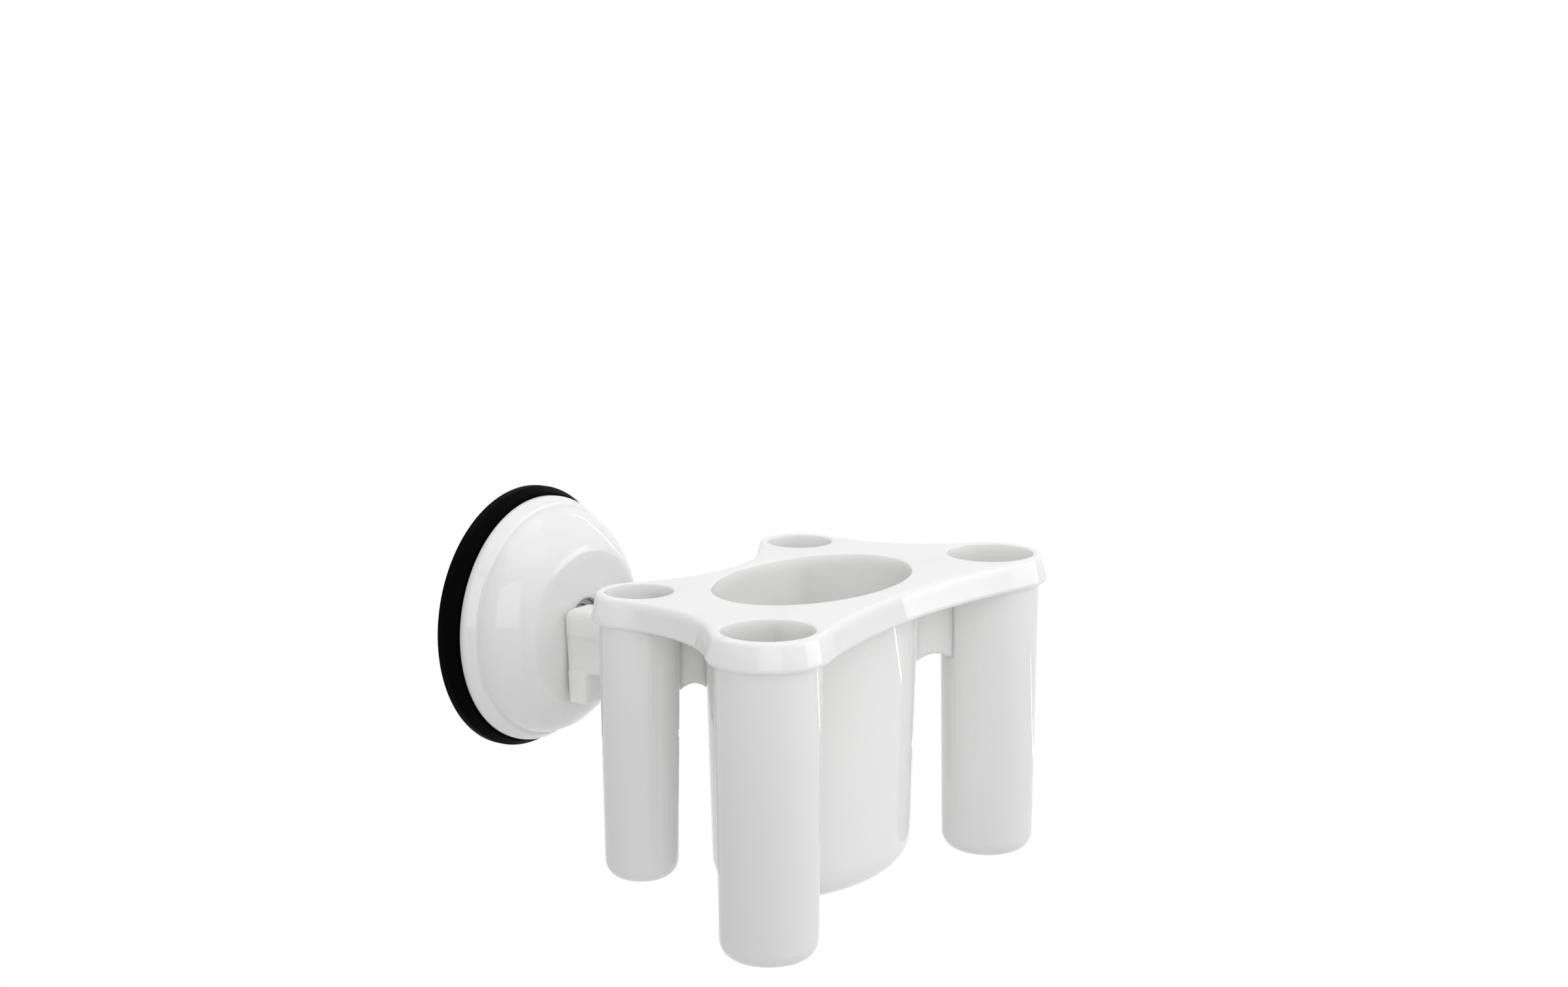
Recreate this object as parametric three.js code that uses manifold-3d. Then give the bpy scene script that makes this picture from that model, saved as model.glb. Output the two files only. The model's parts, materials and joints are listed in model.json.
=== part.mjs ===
// Suction toothbrush holder: a cam-lever suction unit on the wall carries a tray with an oval cup
// and four brush tubes. Millimetres, +Z up. The origin is the centre of the pad's wall plane:
// the wall is the plane Y = 0 and the holder stands out from it along -Y.
import * as THREE from 'three';
import { mergeVertices } from 'three/addons/utils/BufferGeometryUtils.js';
import Module from 'manifold-3d';

const wasm = await Module();
wasm.setup();

// Clearances
const restGap = 0.3;
const slideGap = 0.3;
const turnGap = 0.2;
const camGap = 0.25;
const slotGap = 0.5;

// Suction pad: brim past the housing's rim, then a flared side
const padThickness = 4.8;
const padBrim = 0.5;
const padFlare = 1.4;
const padLipWidth = 6;
const padDishDepth = 1.6;

// Stem: flange bonded to the pad, round post, flat blade with an eye
const stemFlangeRadius = 13;
const stemFlangeThickness = 2;
const stemPostRadius = 4.5;
const stemBladeWidth = 5.2;
const eyeWall = 1.45;

// Lever pin
const pinRadius = 1.25;
const pinCover = 1.2;

// Suction housing: radii, and rises above the plane of its rim
const housingWall = 2;
const flangeRadius = 28.9;
const bandRise = 1.6;
const ledgeRadius = 27.6;
const ledgeRise = 3.6;
const wallRadius = 26.6;
const wallRise = 3.75;
const shoulderRadius = 25;
const shoulderRise = 8.7;
const haunchRadius = 21.6;
const haunchRise = 12.1;
const crestRadius = 17.8;
const crestRise = 15.1;
const seatRadius = 10.5;
const seatRise = 14.3;
const windowRadius = 6.4;
const windowHeight = 6.3;
const windowSill = 1.2;
const guideWall = 1.5;
const guideFootGap = 2.9;

// Return spring
const springWire = 1;
const springTurns = 4;
const springSlack = 0.5;

// Cam lever, with a spigot on its thick upper half that the tray's arm pushes on to
const leverWidth = 16.8;
const leverLength = 16.6;
const leverTipThickness = 4.8;
const leverTipGap = 0.45;
const leverRound = 1.2;
const leverCorner = 1.6;
const camLift = 2.2;
const camTurn = Math.PI / 2;
const cheekWall = 4.5;
const hubWall = 1.5;
const bossTop = -0.8;
const spigotWidth = 8.4;
const spigotHeight = 5.4;
const spigotLength = 14;

// Hanger arm
const armWall = 1.5;
const armLength = 29.7;
const armCorner = 1.5;
const armRootHalf = 9;
const armRootTop = 4;
const armRootBottom = -6.6;
const armFlarePower = 4;

// Paste cup
const cupHalfLength = 29.8;
const cupHalfWidth = 20.2;
const cupDepth = 67.6;
const cupDraft = 1.7;
const cupWall = 1.6;
const cupFloor = 1.8;
const cupFillet = 8;
const cupForward = 2.8;

// Brush tubes: sizes, and how far their centres lie outside the cup's length and width
const frontTubeRadius = 11.25;
const frontTubeDepth = 70;
const frontTubeOut = 14.8;
const backTubeRadius = 8.85;
const backTubeDepth = 64.2;
const backTubeOut = 1.2;
const tubeRowOut = 1.4;
const tubeDraft = 0.85;
const tubeWall = 1.4;
const tubeFloor = 1.6;
const tubeFillet = 4.2;

// Tray deck: height of its top above the suction axis, its section, its rims and its hollow sides
const deckTop = 19.15;
const deckHeight = 6.3;
const deckPlate = 2.2;
const deckSkirt = 1.8;
const deckFlare = 1.5;
const deckEdge = 0.6;
const frontRim = 2;
const backRim = 1.7;
const frontHollow = 153;
const sideHollow = 33.8;
const backHollow = 36;

// Webs between the tubes and the cup
const webThickness = 2.4;
const webHeight = 21.6;
const webRise = 2;

// Facets, and how far one shape runs into another that it joins or cuts
const roundSteps = 44;
const tubeSteps = 24;
const cupSteps = 48;
const domeSteps = 10;
const archSteps = 12;
const lobeSteps = 12;
const hollowSteps = 8;
const arcSteps = 5;
const armSteps = 4;
const springSteps = 8;
const springSides = 5;
const overrun = 1;

// Places that follow from the sizes above, with depths out from the wall
const padFrontRadius = flangeRadius + padBrim;
const padRadius = padFrontRadius + padFlare;
const flangeDepth = padThickness + restGap;
const seatDepth = flangeDepth + seatRise;
const crestDepth = flangeDepth + crestRise;
const housingFront = seatDepth - housingWall;
const stemBase = padThickness + stemFlangeThickness;
const guideRadius = stemPostRadius + slideGap;
const eyeRadius = pinRadius + turnGap / 2 + eyeWall;
const forkRadius = eyeRadius + slideGap;
const forkHalf = stemBladeWidth / 2 + slideGap;
const camLowRadius = pinRadius + turnGap + cheekWall;
const camHighRadius = camLowRadius + camLift;
const camRate = camLift / camTurn;
const pinDepth = seatDepth + camGap + camHighRadius;
const leverFrontDepth = pinDepth + forkRadius + hubWall;
const armSide = spigotWidth / 2 + slideGap + armWall;
const bossFoot = bossTop - spigotHeight - 2 * (slideGap + armWall);
const spigotLevel = (bossTop + bossFoot) / 2;
const armStart = leverFrontDepth + restGap;
const armEnd = armStart + armLength;
const cupCentre = -armEnd - cupHalfWidth;
const trayCentre = cupCentre + cupForward;
const cupFoot = deckTop - cupDepth;
const deckBottom = deckTop - deckHeight;

// Shared mesh helpers

// A closed solid from any closed geometry, with its shared corners merged and its faces outwards.
function solid(geometry, matrix) {
  const bare = geometry.clone();
  bare.deleteAttribute('normal');
  bare.deleteAttribute('uv');
  if (matrix) bare.applyMatrix4(matrix);
  const merged = mergeVertices(bare, 1e-4);
  const corners = merged.attributes.position.array;
  const faces = [];
  for (let i = 0; i < merged.index.count; i += 3) {
    const [a, b, c] = [0, 1, 2].map((k) => merged.index.getX(i + k));
    if (a !== b && b !== c && c !== a) faces.push([a, b, c]);
  }
  const inward = signedVolume(corners, faces) < 0;
  const triVerts = new Uint32Array(faces.flatMap(([a, b, c]) => (inward ? [a, c, b] : [a, b, c])));
  const vertProperties = new Float32Array(corners);
  return new wasm.Manifold(new wasm.Mesh({ numProp: 3, vertProperties, triVerts }));
}

function signedVolume(corners, faces) {
  const at = (i) => new THREE.Vector3().fromArray(corners, 3 * i);
  return faces.reduce((sum, [a, b, c]) => sum + at(a).dot(at(b).cross(at(c))), 0);
}

function meshOf(name, body, material) {
  const { vertProperties, triVerts } = body.getMesh();
  const geometry = new THREE.BufferGeometry();
  geometry.setAttribute('position', new THREE.BufferAttribute(new Float32Array(vertProperties), 3));
  geometry.setIndex(new THREE.BufferAttribute(new Uint32Array(triVerts), 1));
  geometry.computeVertexNormals();
  const mesh = new THREE.Mesh(geometry, material);
  mesh.name = name;
  return mesh;
}

const axisX = new THREE.Vector3(1, 0, 0);
const axisY = new THREE.Vector3(0, 1, 0);
const axisZ = new THREE.Vector3(0, 0, 1);
const point = (x, y) => new THREE.Vector2(x, y);
const points = (pairs) => pairs.map((pair) => point(...pair));

// A flat outline carried straight through a thickness, centred on its own plane.
function slab(outline, thickness) {
  const settings = { depth: thickness, bevelEnabled: false };
  return new THREE.ExtrudeGeometry(new THREE.Shape(outline), settings).translate(0, 0, -thickness / 2);
}

// A side outline (Y, Z) carried along X, centred on X = 0.
function sidePlate(pairs, width) {
  return solid(slab(points(pairs), width), new THREE.Matrix4().makeBasis(axisY, axisZ, axisX));
}

// A front outline (X, Z) carried out from the wall between two depths.
function frontPlate(pairs, from, to) {
  const place = new THREE.Matrix4().makeBasis(axisX, axisZ, axisY.clone().negate());
  return solid(slab(points(pairs), to - from), place.setPosition(0, -(from + to) / 2, 0));
}

// A closed profile of (radius, depth) turned about the suction axis.
function turned(profile, steps = roundSteps) {
  const line = profile.map(([radius, depth]) => point(radius, -depth));
  return solid(new THREE.LatheGeometry(line, steps));
}

// A closed profile of (radius, height) turned about an upright axis at (x, y).
function upright(profile, x, y) {
  const lathe = new THREE.LatheGeometry(points(profile), tubeSteps);
  return solid(lathe.rotateX(Math.PI / 2).translate(x, y, 0));
}

// A round bar along X between two places, at the pin's depth.
function crossBar(radius, from, to) {
  const bar = new THREE.CylinderGeometry(radius, radius, to - from, tubeSteps);
  return solid(bar.rotateZ(Math.PI / 2).translate((from + to) / 2, -pinDepth, 0));
}

function box(from, to) {
  const size = to.map((v, i) => v - from[i]);
  const block = new THREE.BoxGeometry(...size);
  return solid(block.translate(...from.map((v, i) => v + size[i] / 2)));
}

// A solid skinned over rings with equal point counts; each ring is flat and closed.
function skinned(rings) {
  const count = rings[0].length;
  const positions = rings.flat().flatMap((p) => [p.x, p.y, p.z]);
  const index = [];
  for (let r = 0; r + 1 < rings.length; r += 1) {
    for (let i = 0; i < count; i += 1) {
      const [a, b] = [r * count + i, r * count + ((i + 1) % count)];
      index.push(a, b, b + count, a, b + count, a + count);
    }
  }
  const last = (rings.length - 1) * count;
  capFaces(rings[0]).forEach(([a, b, c]) => index.push(c, b, a));
  capFaces(rings[rings.length - 1]).forEach(([a, b, c]) => index.push(last + a, last + b, last + c));
  const geometry = new THREE.BufferGeometry();
  geometry.setAttribute('position', new THREE.Float32BufferAttribute(positions, 3));
  geometry.setIndex(index);
  return solid(geometry);
}

// Triangles that close a flat ring, turned the way the ring runs.
function capFaces(ring) {
  const size = new THREE.Box3().setFromPoints(ring).getSize(new THREE.Vector3());
  const outline = ring.map((p) => (size.y < size.z ? point(p.x, p.z) : point(p.x, p.y)));
  const along = THREE.ShapeUtils.area(outline);
  return THREE.ShapeUtils.triangulateShape(outline, []).map((face) => {
    const area = THREE.ShapeUtils.area(face.map((i) => outline[i]));
    return area * along > 0 ? face : [...face].reverse();
  });
}

// Points on a stretch of an ellipse, from angle a to angle b.
function bend(centreU, centreV, radiusU, radiusV, a, b, steps = arcSteps) {
  return Array.from({ length: steps + 1 }, (_, i) => {
    const t = a + ((b - a) * i) / steps;
    return [centreU + radiusU * Math.cos(t), centreV + radiusV * Math.sin(t)];
  });
}

// Finishes
const whitePlastic = new THREE.MeshStandardMaterial({ color: 0xe9e9e7, roughness: 0.22, metalness: 0 });
const innerPlastic = new THREE.MeshStandardMaterial({ color: 0xc9cacb, roughness: 0.45, metalness: 0 });
const blackRubber = new THREE.MeshStandardMaterial({ color: 0x0b0b0c, roughness: 0.6, metalness: 0 });
const steel = new THREE.MeshStandardMaterial({ color: 0xb4b6b8, roughness: 0.3, metalness: 1 });

// Suction pad: a thick disc with a flat sealing lip round a shallow dish.
function suctionPad() {
  const dishRadius = padRadius - padLipWidth;
  return turned([
    ...bend(0, 0, dishRadius, padDishDepth, Math.PI / 2, 0),
    [padRadius, 0],
    [padRadius, padThickness / 2],
    [padFrontRadius, padThickness],
    [0, padThickness],
  ]);
}

// Stem: flange on the pad, post in the housing's guide, blade through the slot, eye round the pin.
function stem() {
  const postEnd = housingFront - slotGap;
  const post = turned([
    [0, padThickness],
    [stemFlangeRadius, padThickness],
    [stemFlangeRadius, stemBase],
    [stemPostRadius, stemBase],
    [stemPostRadius, postEnd],
    [0, postEnd],
  ], tubeSteps);
  const blade = sidePlate([
    [overrun - postEnd, eyeRadius],
    ...bend(-pinDepth, 0, eyeRadius, eyeRadius, Math.PI / 2, 1.5 * Math.PI, archSteps),
    [overrun - postEnd, -eyeRadius],
  ], stemBladeWidth);
  const bore = crossBar(pinRadius + turnGap / 2, -stemBladeWidth, stemBladeWidth);
  return post.add(blade).subtract(bore);
}

// Lever pin: pressed in from the right, and covered on the left.
function leverPin() {
  return crossBar(pinRadius, pinCover - leverWidth / 2, leverWidth / 2);
}

// The dome's outer line from its rim over a band and a ledge to the flat seat under the cams, as radius
// and depth.
function domeLine() {
  const stations = [
    [wallRadius, wallRise],
    [shoulderRadius, shoulderRise],
    [haunchRadius, haunchRise],
    [crestRadius, crestRise],
    [seatRadius, seatRise],
  ];
  const curve = new THREE.SplineCurve(points(stations));
  const line = curve.getPoints(domeSteps).map((p) => [p.x, flangeDepth + p.y]);
  const rim = [[flangeRadius, 0], [flangeRadius, bandRise], [ledgeRadius, ledgeRise]];
  return [...rim.map(([radius, rise]) => [radius, flangeDepth + rise]), ...line];
}

// The same line moved inwards by the wall, and kept in front of the rim's plane.
function insetLine(line) {
  return line.map(([radius, depth], i) => {
    const before = line[Math.max(i - 1, 0)];
    const after = line[Math.min(i + 1, line.length - 1)];
    const along = point(after[0] - before[0], after[1] - before[1]).normalize();
    return [radius - along.y * housingWall, Math.max(depth + along.x * housingWall, flangeDepth)];
  });
}

// Suction housing: thin dome with a guide for the post, a slot for the blade and an arched window.
function suctionHousing() {
  const outer = domeLine();
  const shell = turned([[0, housingFront], ...insetLine(outer).reverse(), ...outer, [0, seatDepth]]);
  const guideStart = stemBase + guideFootGap;
  const guideEnd = housingFront + housingWall / 2;
  const guide = turned([
    [0, guideStart],
    [guideRadius + guideWall, guideStart],
    [guideRadius + guideWall, guideEnd],
    [0, guideEnd],
  ], tubeSteps);
  const bore = turned([
    [0, guideStart - overrun],
    [guideRadius, guideStart - overrun],
    [guideRadius, housingFront],
    [0, housingFront],
  ], tubeSteps);
  const archCentre = windowHeight - windowRadius;
  const reach = Math.asin((windowSill - archCentre) / windowRadius);
  const arch = bend(0, archCentre, windowRadius, windowRadius, reach, Math.PI - reach, archSteps);
  const slotHalf = stemBladeWidth / 2 + slotGap;
  const slotRise = eyeRadius + slotGap;
  const slot = [[-slotHalf, -slotRise], [slotHalf, -slotRise], [slotHalf, slotRise], [-slotHalf, slotRise]];
  const cutStart = housingFront - slotGap;
  const cutEnd = crestDepth + overrun;
  return shell.add(guide)
    .subtract(bore)
    .subtract(frontPlate(arch, cutStart, cutEnd))
    .subtract(frontPlate(slot, cutStart, cutEnd));
}

// Return spring: one helix between the stem's flange and the housing's front wall.
function returnSpring() {
  const meanRadius = guideRadius + guideWall + slotGap + springWire;
  const from = stemBase + springSlack + springWire / 2;
  const to = housingFront - springSlack - springWire / 2;
  const count = springTurns * springSteps;
  const centres = [];
  const rings = [];
  for (let i = 0; i <= count; i += 1) {
    const angle = (2 * Math.PI * i) / springSteps;
    const out = new THREE.Vector3(Math.cos(angle), 0, Math.sin(angle));
    const centre = out.clone().multiplyScalar(meanRadius).setY(-from - ((to - from) * i) / count);
    centres.push(centre);
    rings.push(Array.from({ length: springSides }, (_, k) => {
      const turn = (2 * Math.PI * k) / springSides;
      return centre.clone()
        .addScaledVector(out, (springWire / 2) * Math.cos(turn))
        .addScaledVector(axisY, (springWire / 2) * Math.sin(turn));
    }));
  }
  reportGap(centres);
  return skinned(rings);
}

// Least gap between the spring's turns, measured between wire centres half a turn or more apart.
function reportGap(centres) {
  let least = Infinity;
  centres.forEach((a, i) => {
    centres.slice(i + springSteps / 2).forEach((b) => {
      least = Math.min(least, a.distanceTo(b) - springWire);
    });
  });
  console.log(`return_spring least gap to itself ${least.toFixed(2)} mm`);
}

// Back of the cam: an involute, so that the housing moves in step with the lever's turn.
function camLine() {
  return Array.from({ length: archSteps + 1 }, (_, i) => {
    const turn = (camTurn * i) / archSteps;
    const support = camHighRadius - camRate * turn;
    return [
      -pinDepth + support * Math.cos(turn) + camRate * Math.sin(turn),
      support * Math.sin(turn) - camRate * Math.cos(turn),
    ];
  });
}

// Cam lever: cam hub on the pin, thick body with a spigot for the tray, thin finger tip below it.
function camLever() {
  const half = leverWidth / 2;
  const cam = camLine();
  const [topDepth, topLevel] = cam[cam.length - 1];
  const tipBack = -crestDepth - leverTipGap;
  const tipFront = tipBack - leverTipThickness;
  const side = [
    ...cam,
    ...bend(topDepth, 0, topDepth + leverFrontDepth, topLevel, Math.PI / 2, Math.PI).slice(1),
    [-leverFrontDepth, bossFoot],
    [tipFront, bossFoot],
    [tipFront, leverRound - leverLength],
    [tipFront + leverRound, -leverLength],
    [tipBack - leverRound, -leverLength],
    [tipBack, leverRound - leverLength],
  ];
  const shoulder = topLevel - leverCorner;
  const heel = leverRound - leverLength;
  const face = [
    ...bend(half - leverCorner, shoulder, leverCorner, leverCorner, 0, Math.PI / 2),
    ...bend(leverCorner - half, shoulder, leverCorner, leverCorner, Math.PI / 2, Math.PI),
    ...bend(leverRound - half, heel, leverRound, leverRound, Math.PI, 1.5 * Math.PI),
    ...bend(half - leverRound, heel, leverRound, leverRound, 1.5 * Math.PI, 2 * Math.PI),
  ];
  const body = sidePlate(side, leverWidth).intersect(frontPlate(face, seatDepth, leverFrontDepth + overrun));
  const spigot = box(
    [-spigotWidth / 2, -leverFrontDepth - spigotLength, spigotLevel - spigotHeight / 2],
    [spigotWidth / 2, overrun - leverFrontDepth, spigotLevel + spigotHeight / 2],
  );
  const far = 2 * camHighRadius;
  const fork = sidePlate([
    [-pinDepth - forkRadius, far],
    ...bend(-pinDepth, 0, forkRadius, forkRadius, Math.PI, 1.5 * Math.PI),
    [far - pinDepth, -forkRadius],
    [far - pinDepth, far],
  ], 2 * forkHalf);
  const bore = crossBar(pinRadius + turnGap, pinCover - turnGap - half, half + overrun);
  return body.add(spigot).subtract(fork).subtract(bore);
}

// Tray plan: the four tubes in order round the deck, and the hollow side that follows each.
const frontTube = { radius: frontTubeRadius, depth: frontTubeDepth, rim: frontRim };
const backTube = { radius: backTubeRadius, depth: backTubeDepth, rim: backRim };
const frontX = cupHalfLength + frontTubeOut;
const backX = cupHalfLength + backTubeOut;
const frontY = trayCentre - cupHalfWidth - tubeRowOut;
const backY = trayCentre + cupHalfWidth + tubeRowOut;
const tubes = [
  { name: 'front_left', x: -frontX, y: frontY, ...frontTube, hollow: frontHollow },
  { name: 'front_right', x: frontX, y: frontY, ...frontTube, hollow: sideHollow },
  { name: 'back_right', x: backX, y: backY, ...backTube, hollow: backHollow },
  { name: 'back_left', x: -backX, y: backY, ...backTube, hollow: sideHollow },
];

// Centre and touching points of the hollow arc outside two neighbouring lobes.
function hollowArc(a, b, radius) {
  const along = point(b.x - a.x, b.y - a.y);
  const length = along.length();
  along.divideScalar(length);
  const [fromA, fromB] = [a.radius + radius, b.radius + radius];
  const reach = (fromA ** 2 - fromB ** 2 + length ** 2) / (2 * length);
  const height = Math.sqrt(fromA ** 2 - reach ** 2);
  const centre = point(a.x + reach * along.x + height * along.y, a.y + reach * along.y - height * along.x);
  const touch = (lobe, span) => point(
    centre.x + ((lobe.x - centre.x) * radius) / span,
    centre.y + ((lobe.y - centre.y) * radius) / span,
  );
  return { centre, start: touch(a, fromA), end: touch(b, fromB), radius };
}

// Points of an arc from start to end about a centre; turn is +1 anticlockwise or -1 clockwise.
function arcPoints(centre, start, end, radius, turn, steps) {
  const angle = (p) => Math.atan2(p.y - centre.y, p.x - centre.x);
  const a = angle(start);
  const full = 2 * Math.PI;
  const span = ((turn * (angle(end) - a)) % full + full) % full;
  return Array.from({ length: steps }, (_, i) => {
    const t = a + (turn * span * i) / steps;
    return point(centre.x + radius * Math.cos(t), centre.y + radius * Math.sin(t));
  });
}

// Lobed deck outline at a height, moved inwards by an inset.
function deckRing(z, inset) {
  const lobes = tubes.map(({ x, y, radius, rim }) => ({ x, y, radius: radius + rim - inset }));
  const next = (i) => lobes[(i + 1) % lobes.length];
  const arcs = lobes.map((lobe, i) => hollowArc(lobe, next(i), tubes[i].hollow + inset));
  const outline = lobes.flatMap((lobe, i) => {
    const before = arcs[(i + arcs.length - 1) % arcs.length];
    return [
      ...arcPoints(lobe, before.end, arcs[i].start, lobe.radius, 1, lobeSteps),
      ...arcPoints(arcs[i].centre, arcs[i].start, arcs[i].end, arcs[i].radius, -1, hollowSteps),
    ];
  });
  return outline.map((p) => new THREE.Vector3(p.x, p.y, z));
}

// Oval ring of the cup at a height, moved outwards by an offset.
function ovalRing(z, offset) {
  return Array.from({ length: cupSteps }, (_, i) => {
    const t = (2 * Math.PI * i) / cupSteps;
    const x = (cupHalfLength + offset) * Math.cos(t);
    const y = cupCentre + (cupHalfWidth + offset) * Math.sin(t);
    return new THREE.Vector3(x, y, z);
  });
}

// Upright round bar at a tube's place between two heights.
function tubeBar(tube, radius, from, to) {
  return upright([[0, from], [radius, from], [radius, to], [0, to]], tube.x, tube.y);
}

// Deck: lobed plate with a flared skirt, pocketed below between the collars of the tubes and the cup.
function trayDeck() {
  const [under, over] = [deckBottom - overrun, deckTop + overrun];
  let deck = skinned([
    deckRing(deckBottom, deckEdge),
    deckRing(deckBottom + deckEdge, 0),
    deckRing(deckTop - deckEdge, deckFlare - deckEdge),
    deckRing(deckTop, deckFlare),
  ]);
  let pocket = skinned([
    deckRing(under, deckSkirt),
    deckRing(deckTop - deckPlate, deckSkirt + deckFlare / 2),
  ]).subtract(skinned([ovalRing(under - overrun, 0), ovalRing(over, 0)]));
  for (const tube of tubes) {
    pocket = pocket.subtract(tubeBar(tube, tube.radius, under - overrun, over));
    deck = deck.subtract(tubeBar(tube, tube.radius - tubeWall, under, over));
  }
  return deck.subtract(pocket).subtract(skinned([ovalRing(under, -cupWall), ovalRing(over, -cupWall)]));
}

// Brush tube: tapered, with a closed rounded foot; its rim meets the deck's underside.
function brushTube(tube) {
  const foot = deckTop - tube.depth;
  const floor = foot + tubeFloor;
  const outerFoot = tube.radius - tubeDraft;
  const innerFoot = outerFoot - tubeWall;
  const innerFillet = tubeFillet - tubeWall;
  return upright([
    [0, foot],
    ...bend(outerFoot - tubeFillet, foot + tubeFillet, tubeFillet, tubeFillet, -Math.PI / 2, 0),
    [tube.radius, deckBottom],
    [tube.radius - tubeWall, deckBottom],
    ...bend(innerFoot - innerFillet, floor + innerFillet, innerFillet, innerFillet, 0, -Math.PI / 2),
    [0, floor],
  ], tube.x, tube.y);
}

// Oval tapered solid down to a rounded foot, moved outwards by an offset.
function ovalBody(top, foot, offset, fillet) {
  const drawnIn = (z) => (cupDraft * (deckTop - z)) / cupDepth;
  const corner = bend(-fillet, foot + fillet, fillet, fillet, -Math.PI / 2, 0);
  const rings = corner.map(([out, z]) => ovalRing(z, offset - drawnIn(z) + out));
  return skinned([...rings, ovalRing(top, offset - drawnIn(top))]);
}

function pasteCup() {
  const outer = ovalBody(deckBottom, cupFoot, 0, cupFillet);
  const inner = ovalBody(deckBottom + overrun, cupFoot + cupFloor, -cupWall, cupFillet - cupWall);
  return outer.subtract(inner);
}

// Room that a tube or the cup takes up with the gap round it, which its neighbours stay out of.
function tubeRoom(tube) {
  const foot = deckTop - tube.depth;
  const radius = tube.radius + restGap;
  return upright([
    [0, foot],
    [radius - tubeDraft, foot],
    [radius, deckBottom],
    [radius, deckTop],
    [0, deckTop],
  ], tube.x, tube.y);
}

function cupRoom() {
  return ovalBody(deckTop, cupFoot, restGap, cupFillet);
}

// Web: an upright plate from a tube to the cup, under the deck's plate, with an arched lower edge.
function tubeWeb(tube) {
  const toCup = new THREE.Vector3(-tube.x, cupCentre - tube.y, 0);
  const length = toCup.length();
  const along = toCup.normalize();
  const top = deckTop - deckPlate;
  const arched = deckTop - webHeight;
  const low = arched - webRise;
  const from = tube.radius;
  const to = length - ovalReach(along);
  const arch = new THREE.QuadraticBezierCurve(
    point(from, low),
    point((from + to) / 2, arched + webRise),
    point(to, low),
  ).getPoints(arcSteps);
  const outline = [point(0, low), ...arch, point(length, low), point(length, top), point(0, top)];
  const across = new THREE.Vector3().crossVectors(along, axisZ);
  const place = new THREE.Matrix4().makeBasis(along, axisZ, across).setPosition(tube.x, tube.y, 0);
  return solid(slab(outline, webThickness), place).subtract(tubeRoom(tube)).subtract(cupRoom());
}

// Distance from the cup's centre to its oval along a direction.
function ovalReach(along) {
  return 1 / Math.hypot(along.x / cupHalfLength, along.y / cupHalfWidth);
}

// Rounded rectangle ring across the arm at a depth.
function armRing(depth, half, bottom, top) {
  const [x, low, high] = [half - armCorner, bottom + armCorner, top - armCorner];
  const corners = [[x, high], [-x, high], [-x, low], [x, low]];
  return corners.flatMap(([u, v], i) => {
    const start = (i * Math.PI) / 2;
    return bend(u, v, armCorner, armCorner, start, start + Math.PI / 2)
      .map(([across, up]) => new THREE.Vector3(across, -depth, up));
  });
}

// Hanger arm: socket over the lever's spigot, and a root that flares out on to the back of the cup.
function hangerArm() {
  const ovalFall = cupHalfWidth * (1 - Math.sqrt(1 - (armRootHalf / cupHalfLength) ** 2));
  const reach = armLength + ovalFall + cupDraft + overrun;
  const mix = (a, b, share) => a + (b - a) * share;
  const rings = Array.from({ length: armSteps + 1 }, (_, i) => {
    const share = i / armSteps;
    const flare = share ** armFlarePower;
    return armRing(
      armStart + reach * share,
      mix(armSide, armRootHalf, flare),
      mix(bossFoot, armRootBottom, share),
      mix(bossTop, armRootTop, flare),
    );
  });
  const socketHalf = spigotWidth / 2 + slideGap;
  const socketRise = spigotHeight / 2 + slideGap;
  const socket = box(
    [-socketHalf, -leverFrontDepth - spigotLength - slideGap, spigotLevel - socketRise],
    [socketHalf, overrun - armStart, spigotLevel + socketRise],
  );
  return skinned(rings).subtract(socket).subtract(cupRoom());
}

const holder = new THREE.Group();
const add = (name, body, material) => holder.add(meshOf(name, body, material));
add('suction_pad', suctionPad(), blackRubber);
add('stem', stem(), innerPlastic);
add('lever_pin', leverPin(), steel);
add('return_spring', returnSpring(), steel);
add('suction_housing', suctionHousing(), whitePlastic);
add('cam_lever', camLever(), whitePlastic);
add('tray_deck', trayDeck(), whitePlastic);
add('paste_cup', pasteCup(), whitePlastic);
add('hanger_arm', hangerArm(), whitePlastic);
for (const tube of tubes) {
  add(`brush_tube_${tube.name}`, brushTube(tube), whitePlastic);
  add(`web_${tube.name}`, tubeWeb(tube), whitePlastic);
}

export default holder;
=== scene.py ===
"""Looks of a suction toothbrush holder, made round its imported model.

Every visible piece is a surface worked out with numpy in millimetres, in the model's own frame: the wall is
the plane Y = 0, the holder stands out from it along -Y, and +Z is up. Main sizes are read from the frame.
"""

import json
import logging
import math
from dataclasses import dataclass
from enum import Enum
from typing import Sequence

import bmesh
import bpy
import numpy as np
from mathutils import Matrix, Vector
from mathutils.geometry import tessellate_polygon


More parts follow.
